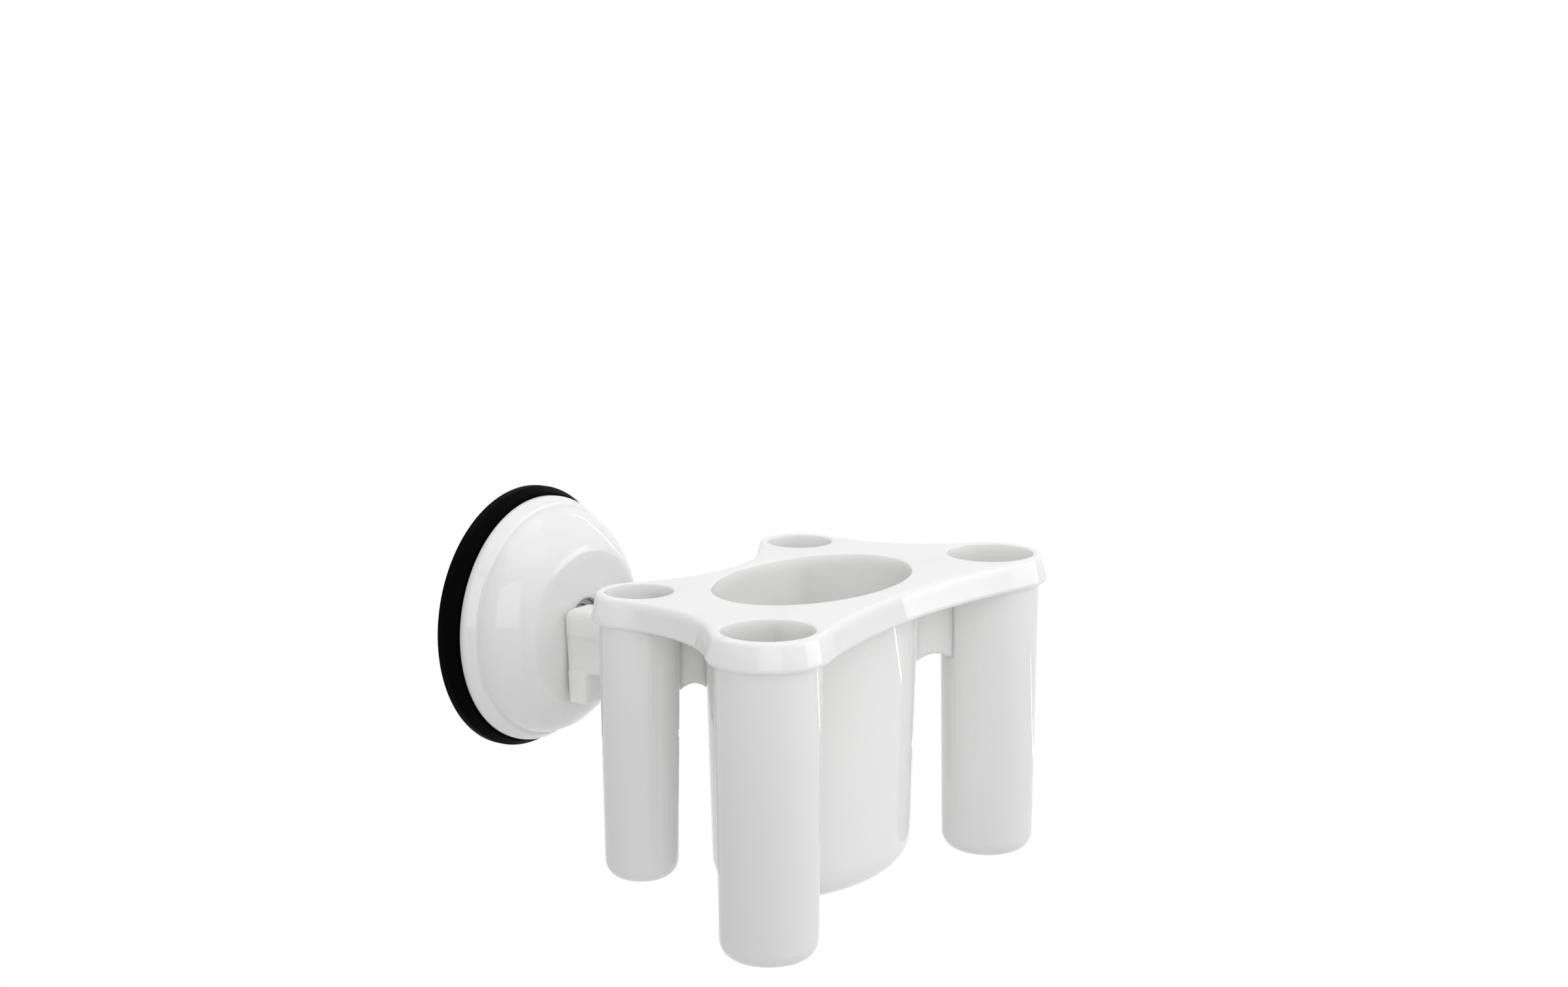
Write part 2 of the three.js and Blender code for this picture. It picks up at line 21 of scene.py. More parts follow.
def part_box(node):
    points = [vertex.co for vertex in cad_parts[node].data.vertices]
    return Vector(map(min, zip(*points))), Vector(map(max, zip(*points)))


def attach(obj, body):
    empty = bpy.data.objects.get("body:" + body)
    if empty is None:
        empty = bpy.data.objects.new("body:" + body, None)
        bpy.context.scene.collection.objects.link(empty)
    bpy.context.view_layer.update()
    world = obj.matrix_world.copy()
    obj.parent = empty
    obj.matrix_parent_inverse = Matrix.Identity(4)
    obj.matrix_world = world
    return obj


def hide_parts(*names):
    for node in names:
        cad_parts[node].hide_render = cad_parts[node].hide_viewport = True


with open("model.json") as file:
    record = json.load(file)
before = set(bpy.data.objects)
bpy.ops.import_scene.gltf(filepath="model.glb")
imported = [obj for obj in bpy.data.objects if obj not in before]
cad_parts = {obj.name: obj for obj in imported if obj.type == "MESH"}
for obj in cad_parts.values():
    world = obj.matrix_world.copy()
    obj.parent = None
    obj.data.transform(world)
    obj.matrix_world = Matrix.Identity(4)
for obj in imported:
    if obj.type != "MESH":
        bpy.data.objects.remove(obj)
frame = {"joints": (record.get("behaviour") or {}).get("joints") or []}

LOG = logging.getLogger("holder")
MM = 0.001
MERGE = 2e-6
SMOOTH_ANGLE = math.radians(38)
TUBES = ("front_left", "front_right", "back_right", "back_left")

Colour = tuple[float, float, float]
Profile = np.ndarray
Stations = tuple[tuple[float, ...], ...]
PLAN = np.eye(3)[:2]


class Slot(Enum):
    """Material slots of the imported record."""

    WHITE = "white_plastic"
    INNER = "inner_plastic"
    RUBBER = "black_rubber"
    STEEL = "steel"


class Body(Enum):
    """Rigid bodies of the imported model."""

    PAD = "pad"
    HOUSING = "housing"
    LEVER = "lever"
    TRAY = "tray"


class Along(Enum):
    """Which world axes a grid's plan (u, v) and height h lie on."""

    Z = (0, 1, 2)
    Y = (0, 2, 1)
    X = (2, 0, 1)


class Cut(Enum):
    """Ways of joining one solid with another."""

    JOIN = "UNION"
    TAKE = "DIFFERENCE"


# Frame readings


def box_mm(node: str) -> tuple[np.ndarray, np.ndarray]:
    """Lowest and highest corner of a CAD node.

    Args:
        node: name of the node.

    Returns:
        The two corners in millimetres.
    """
    low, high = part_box(node)
    return np.array(low) / MM, np.array(high) / MM


def pin_place() -> np.ndarray:
    """Point on the lever's hinge axis in millimetres."""
    hinge = next(joint for joint in frame["joints"] if joint["name"] == "lever_flip")
    return np.array(hinge["pos_m"]) / MM


# Lines and surfaces


def rounded(corners: Sequence[tuple[float, float, float]], steps: int = 6) -> Profile:
    """Line through corners, each replaced by the arc of its radius that touches both sides.

    Args:
        corners: (u, v, radius) of each corner; the ends have radius 0.
        steps: stretches in each arc.

    Returns:
        Points (n, 2) in order.
    """
    places = np.array([corner[:2] for corner in corners], float)
    share = np.linspace(0, 1, steps + 1)[:, None]
    line = [places[:1]]
    for before, here, after, corner in zip(places, places[1:], places[2:], corners[1:]):
        radius = corner[2]
        if radius <= 0:
            line.append(here[None])
            continue
        back = (before - here) / np.linalg.norm(before - here)
        ahead = (after - here) / np.linalg.norm(after - here)
        opening = math.acos(np.clip(back @ ahead, -1, 1))
        reach = radius / math.tan(opening / 2)
        hub = here + (back + ahead) / np.linalg.norm(back + ahead) * radius / math.sin(opening / 2)
        first, last = here + back * reach - hub, here + ahead * reach - hub
        turn = math.pi - opening
        swept = first * np.sin((1 - share) * turn) + last * np.sin(share * turn)
        line.append(hub + swept / math.sin(turn))
    line.append(places[-1:])
    return np.concatenate(line)


def dense(line: Profile, pitch: float) -> Profile:
    """The same line with long stretches divided evenly.

    Args:
        line: points (n, 2).
        pitch: longest stretch that is left.

    Returns:
        Points (m, 2), with every point of the line among them.
    """
    stretch = np.linalg.norm(np.diff(line, axis=0), axis=1)
    counts = np.maximum(1, np.ceil(stretch / pitch)).astype(int)
    owner = np.repeat(np.arange(len(counts)), counts)
    step = np.arange(len(owner)) - np.repeat(np.cumsum(counts) - counts, counts)
    share = (step / counts[owner])[:, None]
    return np.concatenate([line[owner] * (1 - share) + line[owner + 1] * share, line[-1:]])


def smooth_line(stations: Sequence[tuple[float, float]], steps: int) -> Profile:
    """Catmull-Rom line: each span is the cubic whose end slopes are half its neighbours' difference.

    Args:
        stations: points that the line passes through.
        steps: stretches in each span.

    Returns:
        Points (n, 2) from the first station to the last.
    """
    places = np.array(stations, float)
    padded = np.concatenate([places[:1], places, places[-1:]])
    t = (np.arange(steps) / steps)[None, :, None]
    p0, p1, p2, p3 = (padded[i : len(padded) - 3 + i][:, None] for i in range(4))
    slope1, slope2 = (p2 - p0) / 2, (p3 - p1) / 2
    cubic = (2 * p1 - 2 * p2 + slope1 + slope2) * t**3
    square = (3 * p2 - 3 * p1 - 2 * slope1 - slope2) * t**2
    return np.concatenate([(cubic + square + slope1 * t + p1).reshape(-1, 2), places[-1:]])


def inset(line: Profile, wall: float) -> Profile:
    """The line moved to its left by a wall, each point along the mean normal of its neighbours.

    Args:
        line: points (n, 2).
        wall: distance in millimetres.

    Returns:
        Points (n, 2).
    """
    along = np.gradient(line, axis=0)
    along /= np.linalg.norm(along, axis=1, keepdims=True)
    return line + wall * np.stack([-along[:, 1], along[:, 0]], axis=1)


def full_turn(count: int) -> np.ndarray:
    """Evenly spaced angles of a full turn."""
    return np.linspace(0, 2 * math.pi, count, endpoint=False)


def spokes(angles: np.ndarray) -> np.ndarray:
    """Unit vectors (..., 2) at the given angles: (cos t, sin t)."""
    return np.stack([np.cos(angles), np.sin(angles)], axis=-1)


def arc(centre: np.ndarray, radius: float, angles: np.ndarray) -> np.ndarray:
    """Points (n, 2) of a circle at the given angles."""
    return np.asarray(centre) + radius * spokes(angles)


def bearing(place: np.ndarray, target: np.ndarray) -> np.ndarray:
    """Angle of each target seen from its place."""
    away = target - place
    return np.arctan2(away[..., 1], away[..., 0])


def raised(plan: np.ndarray, height: np.ndarray | float) -> np.ndarray:
    """A grid's plan with a height added to each of its points.

    Args:
        plan: points (rows, n, 2).
        height: one height, or an array that fits (rows, n).

    Returns:
        Points (rows, n, 3).
    """
    level = np.broadcast_to(height, plan.shape[:2])
    return np.concatenate([plan, level[..., None]], axis=2)


def at_height(loop: np.ndarray, height: float) -> np.ndarray:
    """A plan loop (n, 2) as points (n, 3) at one height."""
    return raised(loop[None], height)[0]


def soft_boxes(half_u: np.ndarray, half_v: np.ndarray, corner: np.ndarray, steps: int = 6) -> np.ndarray:
    """Rounded rectangles about the origin: quarter circles at the corners, straight sides between them.

    Args:
        half_u: half widths, one per row.
        half_v: half heights, one per row.
        corner: corner radii, one per row.
        steps: stretches in each quarter circle.

    Returns:
        Loops (rows, n, 2), with three points on each straight side.
    """
    half = np.stack([half_u, half_v], axis=-1)[:, None, None, :]
    radius = np.broadcast_to(corner, np.shape(half_u))[:, None, None, None]
    signs = np.array([[1, 1], [-1, 1], [-1, -1], [1, -1]])[None, :, None, :]
    angles = np.arange(4)[:, None] * math.pi / 2 + np.linspace(0, math.pi / 2, steps + 1)[None]
    quarters = signs * (half - radius) + radius * spokes(angles)[None]
    ends = quarters[:, :, -1:]
    starts = np.roll(quarters[:, :, :1], -1, axis=1)
    share = np.array([0.08, 0.5, 0.92])[None, None, :, None]
    sides = ends + (starts - ends) * share
    return np.concatenate([quarters, sides], axis=2).reshape(len(half_u), -1, 2)


def edge_rows(start: float, stop: float, start_round: float, stop_round: float, steps: int = 5) -> Profile:
    """Rows of a soft-ended bar: its inset follows a quarter circle at each end and is 0 between them.

    Args:
        start: height of one end.
        stop: height of the other end.
        start_round: edge radius at the start.
        stop_round: edge radius at the stop.
        steps: stretches in each quarter circle.

    Returns:
        (inset, height) of each row.
    """
    way = math.copysign(1, stop - start)
    turn = np.linspace(0, math.pi / 2, steps + 1)
    quarter = np.stack([1 - np.sin(turn), way * (1 - np.cos(turn))], axis=1)
    first = np.array([0, start]) + start_round * quarter
    last = np.array([0, stop]) + stop_round * quarter * np.array([1, -1])
    return np.concatenate([first, last[::-1]])


@dataclass
class Loop:
    """A closed plan line: points (n, 2) and outward normals (n, 2)."""

    points: np.ndarray
    normals: np.ndarray

    @classmethod
    def through(cls, points: np.ndarray) -> "Loop":
        """Loop through anticlockwise points, with normals square to each point's neighbours.

        Args:
            points: points (n, 2).

        Returns:
            The loop.
        """
        along = np.roll(points, -1, axis=0) - np.roll(points, 1, axis=0)
        along /= np.linalg.norm(along, axis=1, keepdims=True)
        return cls(points, np.stack([along[:, 1], -along[:, 0]], axis=1))

    @classmethod
    def circle(cls, centre: np.ndarray, radius: float, angles: np.ndarray) -> "Loop":
        """Circle sampled at the given angles."""
        outward = spokes(angles)
        return cls(np.asarray(centre) + radius * outward, outward)

    @classmethod
    def oval(cls, centre: np.ndarray, half: np.ndarray, count: int) -> "Loop":
        """Ellipse: (a cos t, b sin t), with normals along (b cos t, a sin t).

        Args:
            centre: its middle (2,).
            half: its half widths a and b.
            count: points round it.

        Returns:
            The loop.
        """
        circle = spokes(full_turn(count))
        outward = half[::-1] * circle
        outward /= np.linalg.norm(outward, axis=1, keepdims=True)
        return cls(np.asarray(centre) + half * circle, outward)

    def moved(self, offset: float) -> np.ndarray:
        """Points (n, 2) moved outwards by an offset."""
        return self.points + offset * self.normals

    def wall(self, profile: Profile) -> np.ndarray:
        """Grid of the loop moved outwards and raised row by row.

        Args:
            profile: (outward offset, height) of each row.

        Returns:
            Points (rows, n, 3).
        """
        return raised(self.points + profile[:, None, :1] * self.normals, profile[:, 1:])


def turned(profile: Profile, count: int) -> np.ndarray:
    """Profile of (radius, depth) turned about the suction axis: (r cos t, -depth, r sin t).

    Args:
        profile: points (n, 2).
        count: columns round the axis.

    Returns:
        Grid (n, count, 3).
    """
    rings = raised(profile[:, None, :1] * spokes(full_turn(count)), -profile[:, 1:])
    return rings[..., Along.Y.value]


class Skin:
    """Grids and flat fills in millimetres that make up one closed mesh."""

    def __init__(self) -> None:
        """Starts with no points and no faces."""
        self.points: list[np.ndarray] = []
        self.faces: list[list[int]] = []
        self.count = 0

    def grid(self, rows: np.ndarray, along: Along = Along.Z, ring: bool = False) -> "Skin":
        """Adds the quads of a grid whose columns close on themselves.

        Args:
            rows: points (rows, columns, 3) as (u, v, h).
            along: world axes of (u, v, h).
            ring: whether the last row joins the first.

        Returns:
            The skin itself.
        """
        height, width = rows.shape[:2]
        index = np.arange(height * width).reshape(height, width) + self.count
        index = np.concatenate([index, index[:, :1]], axis=1)
        if ring:
            index = np.concatenate([index, index[:1]], axis=0)
        quads = np.stack([index[:-1, :-1], index[:-1, 1:], index[1:, 1:], index[1:, :-1]], axis=-1)
        self.faces += quads.reshape(-1, 4).tolist()
        return self._keep(rows.reshape(-1, 3), along)

    def fill(self, *loops: np.ndarray, along: Along = Along.Z, plane: np.ndarray = PLAN) -> "Skin":
        """Adds a flat face between an outer loop and the holes in it.

        Args:
            loops: points (n, 3) of the outer loop, then of each hole, as (u, v, h).
            along: world axes of (u, v, h).
            plane: two directions (2, 3) that the face is seen flat along.

        Returns:
            The skin itself.
        """
        flat = [at_height(loop @ plane.T, 0.0).tolist() for loop in loops]
        faces = np.array(tessellate_polygon(flat)) + self.count
        self.faces += faces.tolist()
        return self._keep(np.concatenate(loops), along)

    def bar(self, rows: np.ndarray, along: Along = Along.Z) -> "Skin":
        """Adds a grid with both of its end rows filled flat."""
        return self.grid(rows, along).fill(rows[0], along=along).fill(rows[-1], along=along)

    def _keep(self, points: np.ndarray, along: Along) -> "Skin":
        """Stores points with (u, v, h) put on their world axes.

        Args:
            points: points (n, 3).
            along: world axes of (u, v, h).

        Returns:
            The skin itself.
        """
        self.points.append(points[:, along.value])
        self.count += len(points)
        return self

    def build(self, name: str) -> bpy.types.Object:
        """Makes the mesh object, with shared corners merged and faces outwards.

        Args:
            name: name of the piece.

        Returns:
            The new object, at the origin, with its place in its mesh.
        """
        mesh = bpy.data.meshes.new(name)
        mesh.from_pydata((np.concatenate(self.points) * MM).tolist(), [], self.faces)
        return finished(name, mesh)


def finished(name: str, mesh: bpy.types.Mesh) -> bpy.types.Object:
    """Merges a mesh's doubles, turns its faces outwards, smooths it and links it as an object.

    Args:
        name: name of the piece.
        mesh: its mesh, in metres.

    Returns:
        The new object.
    """
    work = bmesh.new()
    work.from_mesh(mesh)
    bmesh.ops.remove_doubles(work, verts=work.verts, dist=MERGE)
    bmesh.ops.dissolve_degenerate(work, edges=work.edges, dist=MERGE / 4)
    bmesh.ops.recalc_face_normals(work, faces=work.faces)
    work.to_mesh(mesh)
    work.free()
    mesh.shade_smooth()
    mesh.set_sharp_from_angle(angle=SMOOTH_ANGLE)
    piece = bpy.data.objects.new(name, mesh)
    bpy.context.scene.collection.objects.link(piece)
    return piece


def combined(name: str, base: Skin, steps: Sequence[tuple[Cut, Skin]]) -> bpy.types.Object:
    """Joins solids to a base solid, or takes them from it, one after another.

    Args:
        name: name of the finished piece.
        base: the solid to start from.
        steps: what is done with each further solid.

    Returns:
        The finished piece; the solids themselves are deleted.
    """
    piece = base.build(name + "_base")
    tools = []
    for number, (cut, skin) in enumerate(steps):
        tool = skin.build(f"{name}_tool_{number}")
        change = piece.modifiers.new(tool.name, "BOOLEAN")
        change.operation = cut.value
        change.solver = "EXACT"
        change.object = tool
        tools.append(tool)
    graph = bpy.context.evaluated_depsgraph_get()
    mesh = bpy.data.meshes.new_from_object(piece.evaluated_get(graph))
    mesh.name = name
    for spare in [piece, *tools]:
        bpy.data.objects.remove(spare)
    return finished(name, mesh)


# Finishes


class NodeSheet:
    """A material's nodes, with short calls that add them and wire them to its shader."""

    def __init__(self, name: str) -> None:
        """Makes the material with a plain shader and an Object coordinate.

        Args:
            name: name of the material.
        """
        self.material = bpy.data.materials.new(name)
        self.material.use_nodes = True
        self.nodes = self.material.node_tree.nodes
        self.shader = self.nodes["Principled BSDF"]
        self.place = self.nodes.new("ShaderNodeTexCoord").outputs["Object"]

    def wire(self, source: bpy.types.NodeSocket, target: bpy.types.NodeSocket) -> None:
        """Links one socket to another."""
        self.material.node_tree.links.new(source, target)

    def fix(self, **values: float | Colour) -> None:
        """Sets sockets of the shader to constant values, with underscores for spaces."""
        for key, value in values.items():
            self.shader.inputs[key.replace("_", " ")].default_value = value

    def stretched(self, scale: Sequence[float]) -> bpy.types.NodeSocket:
        """Object coordinate stretched along each axis.

        Args:
            scale: factor for each axis.

        Returns:
            The stretched coordinate.
        """
        node = self.nodes.new("ShaderNodeMapping")
        node.inputs["Scale"].default_value = scale
        self.wire(self.place, node.inputs["Vector"])
        return node.outputs["Vector"]

    def noise(self, size_mm: float, detail: float = 2.0,
              place: bpy.types.NodeSocket | None = None) -> bpy.types.NodeSocket:
        """Noise with features of a given size.

        Args:
            size_mm: size of the features.
            detail: octaves of finer noise.
            place: coordinate to use instead of the plain one.

        Returns:
            The noise's value, about 0.5 in the middle.
        """
        node = self.nodes.new("ShaderNodeTexNoise")
        node.inputs["Scale"].default_value = 1 / (size_mm * MM)
        node.inputs["Detail"].default_value = detail
        self.wire(place or self.place, node.inputs["Vector"])
        return node.outputs[0]

    def span(self, value: bpy.types.NodeSocket, low: float, high: float,
             start: float = 0.3, stop: float = 0.7) -> bpy.types.NodeSocket:
        """Value mapped from start and stop to low and high, and held there.

        Args:
            value: the value.
            low: what start becomes.
            high: what stop becomes.
            start: lower end of the value's range.
            stop: upper end of the value's range.

        Returns:
            The mapped value.
        """
        node = self.nodes.new("ShaderNodeMapRange")
        for key, number in (("From Min", start), ("From Max", stop), ("To Min", low), ("To Max", high)):
            node.inputs[key].default_value = number
        self.wire(value, node.inputs["Value"])
        return node.outputs["Result"]

    def tint(self, value: bpy.types.NodeSocket, low: Colour, high: Colour) -> None:
        """Colours the surface between two tones as a value goes from 0 to 1.

        Args:
            value: the value.
            low: tone at 0.
            high: tone at 1.
        """
        node = self.nodes.new("ShaderNodeMix")
        node.data_type = "RGBA"
        node.inputs[6].default_value = (*low, 1)
        node.inputs[7].default_value = (*high, 1)
        self.wire(value, node.inputs[0])
        self.wire(node.outputs[2], self.shader.inputs["Base Color"])

    def relief(self, layers: Sequence[tuple[bpy.types.NodeSocket, float]]) -> None:
        """Bumps the surface.

        Args:
            layers: each height, from 0 to 1, with its depth in millimetres.
        """
        before = None
        for height, depth in layers:
            node = self.nodes.new("ShaderNodeBump")
            node.inputs["Strength"].default_value = 1.0
            node.inputs["Distance"].default_value = depth * MM
            self.wire(height, node.inputs["Height"])
            if before is not None:
                self.wire(before, node.inputs["Normal"])
            before = node.outputs["Normal"]
        self.wire(before, self.shader.inputs["Normal"])


@dataclass(frozen=True)
class MouldedPlastic:
    """Moulded plastic: cloudy tone, soft waviness from the mould, fine polish haze, some depth."""

    name: str
    pale: Colour
    deep: Colour
    polish: tuple[float, float]
    wave_depth: float
    grain_depth: float
    cloud_mm: float = 38.0
    haze_mm: float = 9.0
    wave_mm: float = 14.0
    grain_mm: float = 0.45
    refraction: float = 1.47
    depth_share: float = 0.0
    depth_mm: float = 1.0
    depth_tint: Colour = (1.0, 1.0, 1.0)

    def make(self) -> bpy.types.Material:
        """Builds the node material.

        Returns:
            The new material.
        """
        sheet = NodeSheet(self.name)
        sheet.tint(sheet.span(sheet.noise(self.cloud_mm), 0, 1), self.deep, self.pale)
        haze = sheet.span(sheet.noise(self.haze_mm, 4), *self.polish)
        sheet.wire(haze, sheet.shader.inputs["Roughness"])
        sheet.relief([
            (sheet.noise(self.wave_mm, 1), self.wave_depth),
            (sheet.noise(self.grain_mm, 3), self.grain_depth),
        ])
        sheet.fix(IOR=self.refraction, Subsurface_Weight=self.depth_share)
        sheet.fix(Subsurface_Scale=self.depth_mm * MM, Subsurface_Radius=self.depth_tint)
        return sheet.material


@dataclass(frozen=True)
class BlackRubber:
    """Soft black rubber: dull bloom in patches over a fine moulded grain."""

    name: str = "black_rubber"
    pale: Colour = (0.0016, 0.0016, 0.0018)
    deep: Colour = (0.0008, 0.0008, 0.0009)
    bloom_mm: float = 7.0
    grain_mm: float = 0.35
    grain_depth: float = 0.012
    polish: tuple[float, float] = (0.52, 0.66)
    shine: float = 0.02

    def make(self) -> bpy.types.Material:
        """Builds the node material.

        Returns:
            The new material.
        """
        sheet = NodeSheet(self.name)
        bloom = sheet.noise(self.bloom_mm, 3)
        sheet.tint(sheet.span(bloom, 0, 1), self.deep, self.pale)
        sheet.wire(sheet.span(bloom, *self.polish), sheet.shader.inputs["Roughness"])
        sheet.relief([(sheet.noise(self.grain_mm, 3), self.grain_depth)])
        sheet.fix(Specular_IOR_Level=self.shine)
        return sheet.material


@dataclass(frozen=True)
class DrawnSteel:
    """Bright steel with fine drawing marks along one axis."""

    name: str
    stretch: tuple[float, float, float]
    pale: Colour = (0.70, 0.71, 0.72)
    deep: Colour = (0.55, 0.56, 0.58)
    mark_mm: float = 0.12
    mark_depth: float = 0.006
    polish: tuple[float, float] = (0.22, 0.38)

    def make(self) -> bpy.types.Material:
        """Builds the node material.

        Returns:
            The new material.
        """
        sheet = NodeSheet(self.name)
        marks = sheet.noise(self.mark_mm, 4, sheet.stretched(self.stretch))
        sheet.tint(sheet.span(marks, 0, 1), self.deep, self.pale)
        sheet.wire(sheet.span(marks, *self.polish), sheet.shader.inputs["Roughness"])
        sheet.relief([(marks, self.mark_depth)])
        sheet.fix(Metallic=1.0)
        return sheet.material


GLOSS_WHITE = MouldedPlastic(
    name="gloss_white",
    pale=(0.945, 0.943, 0.932),
    deep=(0.925, 0.922, 0.908),
    polish=(0.018, 0.034),
    wave_depth=0.004,
    grain_depth=0.0002,
    depth_share=0.8,
    depth_mm=3.0,
    depth_tint=(1.0, 0.99, 0.96),
)
SATIN_GREY = MouldedPlastic(
    name="satin_grey",
    pale=(0.60, 0.605, 0.61),
    deep=(0.55, 0.555, 0.56),
    polish=(0.38, 0.5),
    wave_depth=0.02,
    grain_depth=0.004,
)
RUBBER = BlackRubber()
PIN_STEEL = DrawnSteel(name="pin_steel", stretch=(0.04, 1, 1))
WIRE_STEEL = DrawnSteel(name="wire_steel", stretch=(1, 6, 1))


class FinishShelf:
    """The finished materials, each made once and shared by the pieces that wear it."""

    def __init__(self) -> None:
        """Makes the shared materials."""
        self.white = GLOSS_WHITE.make()
        self.grey = SATIN_GREY.make()
        self.rubber = RUBBER.make()
        self.pin = PIN_STEEL.make()
        self.wire = WIRE_STEEL.make()


def dress(piece: bpy.types.Object, finish: bpy.types.Material, body: Body, slot: Slot, *nodes: str) -> None:
    """Gives a piece its finish and ties it to the frame.

    Args:
        piece: the finished piece.
        finish: its material.
        body: the CAD body that it moves with.
        slot: the record's material slot; not used.
        nodes: the CAD nodes that it stands for.
    """
    piece.data.materials.clear()
    piece.data.materials.append(finish)
    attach(piece, body.value)
    if nodes:
        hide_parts(*nodes)
    LOG.info("%s: %d faces, rides on %s", piece.name, len(piece.data.polygons), body.value)


# Suction unit


@dataclass
class SuctionPad:
    """Thick rubber disc: flat sealing lip with two fine grooves round a shallow dish."""

    lip_width: float = 6.0
    lip_round: float = 0.8
    dish_depth: float = 1.6
    dish_flat: float = 0.55
    dish_round: float = 6.0
    flare: float = 1.4
    side_round: float = 1.2
    edge_round: float = 0.7
    groove_places: tuple[float, float] = (1.6, 3.4)
    groove_depth: float = 0.35
    groove_width: float = 0.5
    groove_round: float = 0.2
    columns: int = 160

    def line(self) -> Profile:
        """Closed half section from the dish's centre round the side to the front's centre.

        Returns:
            Points (n, 2) as (radius, depth).
        """
        low, high = box_mm("suction_pad")
        radius, thickness = high[0], -low[1]
        dish = radius - self.lip_width
        steps = ((-self.groove_width, 0), (0, self.groove_depth), (self.groove_width, 0))
        grooves = [
            (dish + place + step, depth, self.groove_round)
            for place in self.groove_places
            for step, depth in steps
        ]
        return rounded([
            (0, self.dish_depth, 0),
            (dish * self.dish_flat, self.dish_depth, self.dish_round),
            (dish, 0, self.lip_round),
            *grooves,
            (radius, 0, self.edge_round),
            (radius, thickness / 2, self.side_round),
            (radius - self.flare, thickness, self.edge_round),
            (0, thickness, 0),
        ])

    def build(self, shelf: FinishShelf) -> None:
        """Makes the pad and dresses it in rubber."""
        pad = Skin().grid(turned(dense(self.line(), 1.5), self.columns)).build("suction_pad_rubber")
        dress(pad, shelf.rubber, Body.PAD, Slot.RUBBER, "suction_pad")


@dataclass
class PullStem:
    """Hidden core of the suction unit: stem with an eye, steel pin and return spring."""

    flange_thickness: float = 2.0
    post_radius: float = 4.5
    post_end: float = 16.9
    blade_half: float = 2.6
    blade_root: float = 1.0
    eye_radius: float = 2.8
    edge_round: float = 0.4
    bore_play: float = 0.1
    pin_chamfer: float = 0.3
    pin_inset: float = 1.6
    wire_radius: float = 0.5
    live_turns: float = 4.0
    dead_turns: float = 0.75
    dead_pitch: float = 1.05
    turn_points: int = 48
    columns: int = 96

    def build(self, shelf: FinishShelf) -> None:
        """Makes the stem, the pin and the spring.

        Args:
            shelf: the shared materials.
        """
        self._stem(shelf)
        self._pin(shelf)
        self._spring(shelf)

    def _stem(self, shelf: FinishShelf) -> None:
        """Turned flange and post, joined to a soft-edged blade with a bored eye.

        Args:
            shelf: the shared materials.
        """
        high = box_mm("stem")[1]
        base = -high[1]
        foot = base + self.flange_thickness
        post = rounded([
            (0, base, 0),
            (high[0], base, self.edge_round),
            (high[0], foot, self.edge_round),
            (self.post_radius, foot, self.edge_round),
            (self.post_radius, self.post_end, self.edge_round),
            (0, self.post_end, 0),
        ])
        pin = pin_place()
        half_turn = arc(pin[1:], self.eye_radius, np.linspace(math.pi / 2, 1.5 * math.pi, 33))
        root = self.blade_root - self.post_end
        sides = np.array([[root, -self.eye_radius], [root, self.eye_radius]])
        blade = Loop.through(dense(np.concatenate([half_turn, sides, half_turn[:1]]), 0.8)[:-1])
        rows = edge_rows(-self.blade_half, self.blade_half, self.edge_round, self.edge_round)
        rows[:, 0] *= -1
        bore = Loop.circle(pin[1:], self._pin_radius() + self.bore_play, full_turn(48))
        through = np.array([[0, -2 * self.blade_half], [0, 2 * self.blade_half]])
        stem = combined("stem_insert", Skin().grid(turned(post, self.columns)), [
            (Cut.JOIN, Skin().bar(blade.wall(rows), Along.X)),
            (Cut.TAKE, Skin().bar(bore.wall(through), Along.X)),
        ])
        dress(stem, shelf.grey, Body.PAD, Slot.INNER, "stem")

    @staticmethod
    def _pin_radius() -> float:
        """Radius of the lever's pin, from its node."""
        low, high = box_mm("lever_pin")
        return (high[2] - low[2]) / 2

    def _pin(self, shelf: FinishShelf) -> None:
        """Straight pin with a chamfer at each end, set in on the left under the lever's thick cover.

        Args:
            shelf: the shared materials.
        """
        low, high = box_mm("lever_pin")
        left = low[0] + self.pin_inset
        line = Loop.circle(pin_place()[1:], self._pin_radius(), full_turn(64))
        c = self.pin_chamfer
        rows = np.array([[-c, left], [0, left + c], [0, high[0] - c], [-c, high[0]]])
        pin = Skin().bar(line.wall(rows), Along.X).build("lever_pin_steel")
        dress(pin, shelf.pin, Body.PAD, Slot.STEEL, "lever_pin")

    def _spring(self, shelf: FinishShelf) -> None:
        """Wire circle carried along a helix whose pitch closes up at both ends.

        Args:
            shelf: the shared materials.
        """
        low, high = box_mm("return_spring")
        mean = high[0] - self.wire_radius
        start, stop = -high[1] + self.wire_radius, -low[1] - self.wire_radius
        turns = self.live_turns + 2 * self.dead_turns
        share = np.linspace(0, 1, int(turns * self.turn_points) + 1)
        dead = self.dead_turns / turns
        ease = np.clip((share - dead) / (1 - 2 * dead), 0, 1)
        ends = 2 * self.wire_radius * self.dead_pitch * self.dead_turns
        depth = start + (stop - start - 2 * ends) * ease
        depth += ends * (np.clip(share / dead, 0, 1) + np.clip((share - 1 + dead) / dead, 0, 1))
        angle = 2 * math.pi * turns * share
        outward = np.stack([np.cos(angle), np.zeros_like(angle), np.sin(angle)], axis=1)
        centre = mean * outward + np.stack([0 * depth, -depth, 0 * depth], axis=1)
        section = full_turn(14)[:, None]
        ring = outward[:, None] * np.cos(section) + np.array([0.0, 1.0, 0.0]) * np.sin(section)
        spring = Skin().bar(centre[:, None] + self.wire_radius * ring).build("return_spring_wire")
        dress(spring, shelf.wire, Body.PAD, Slot.STEEL, "return_spring")


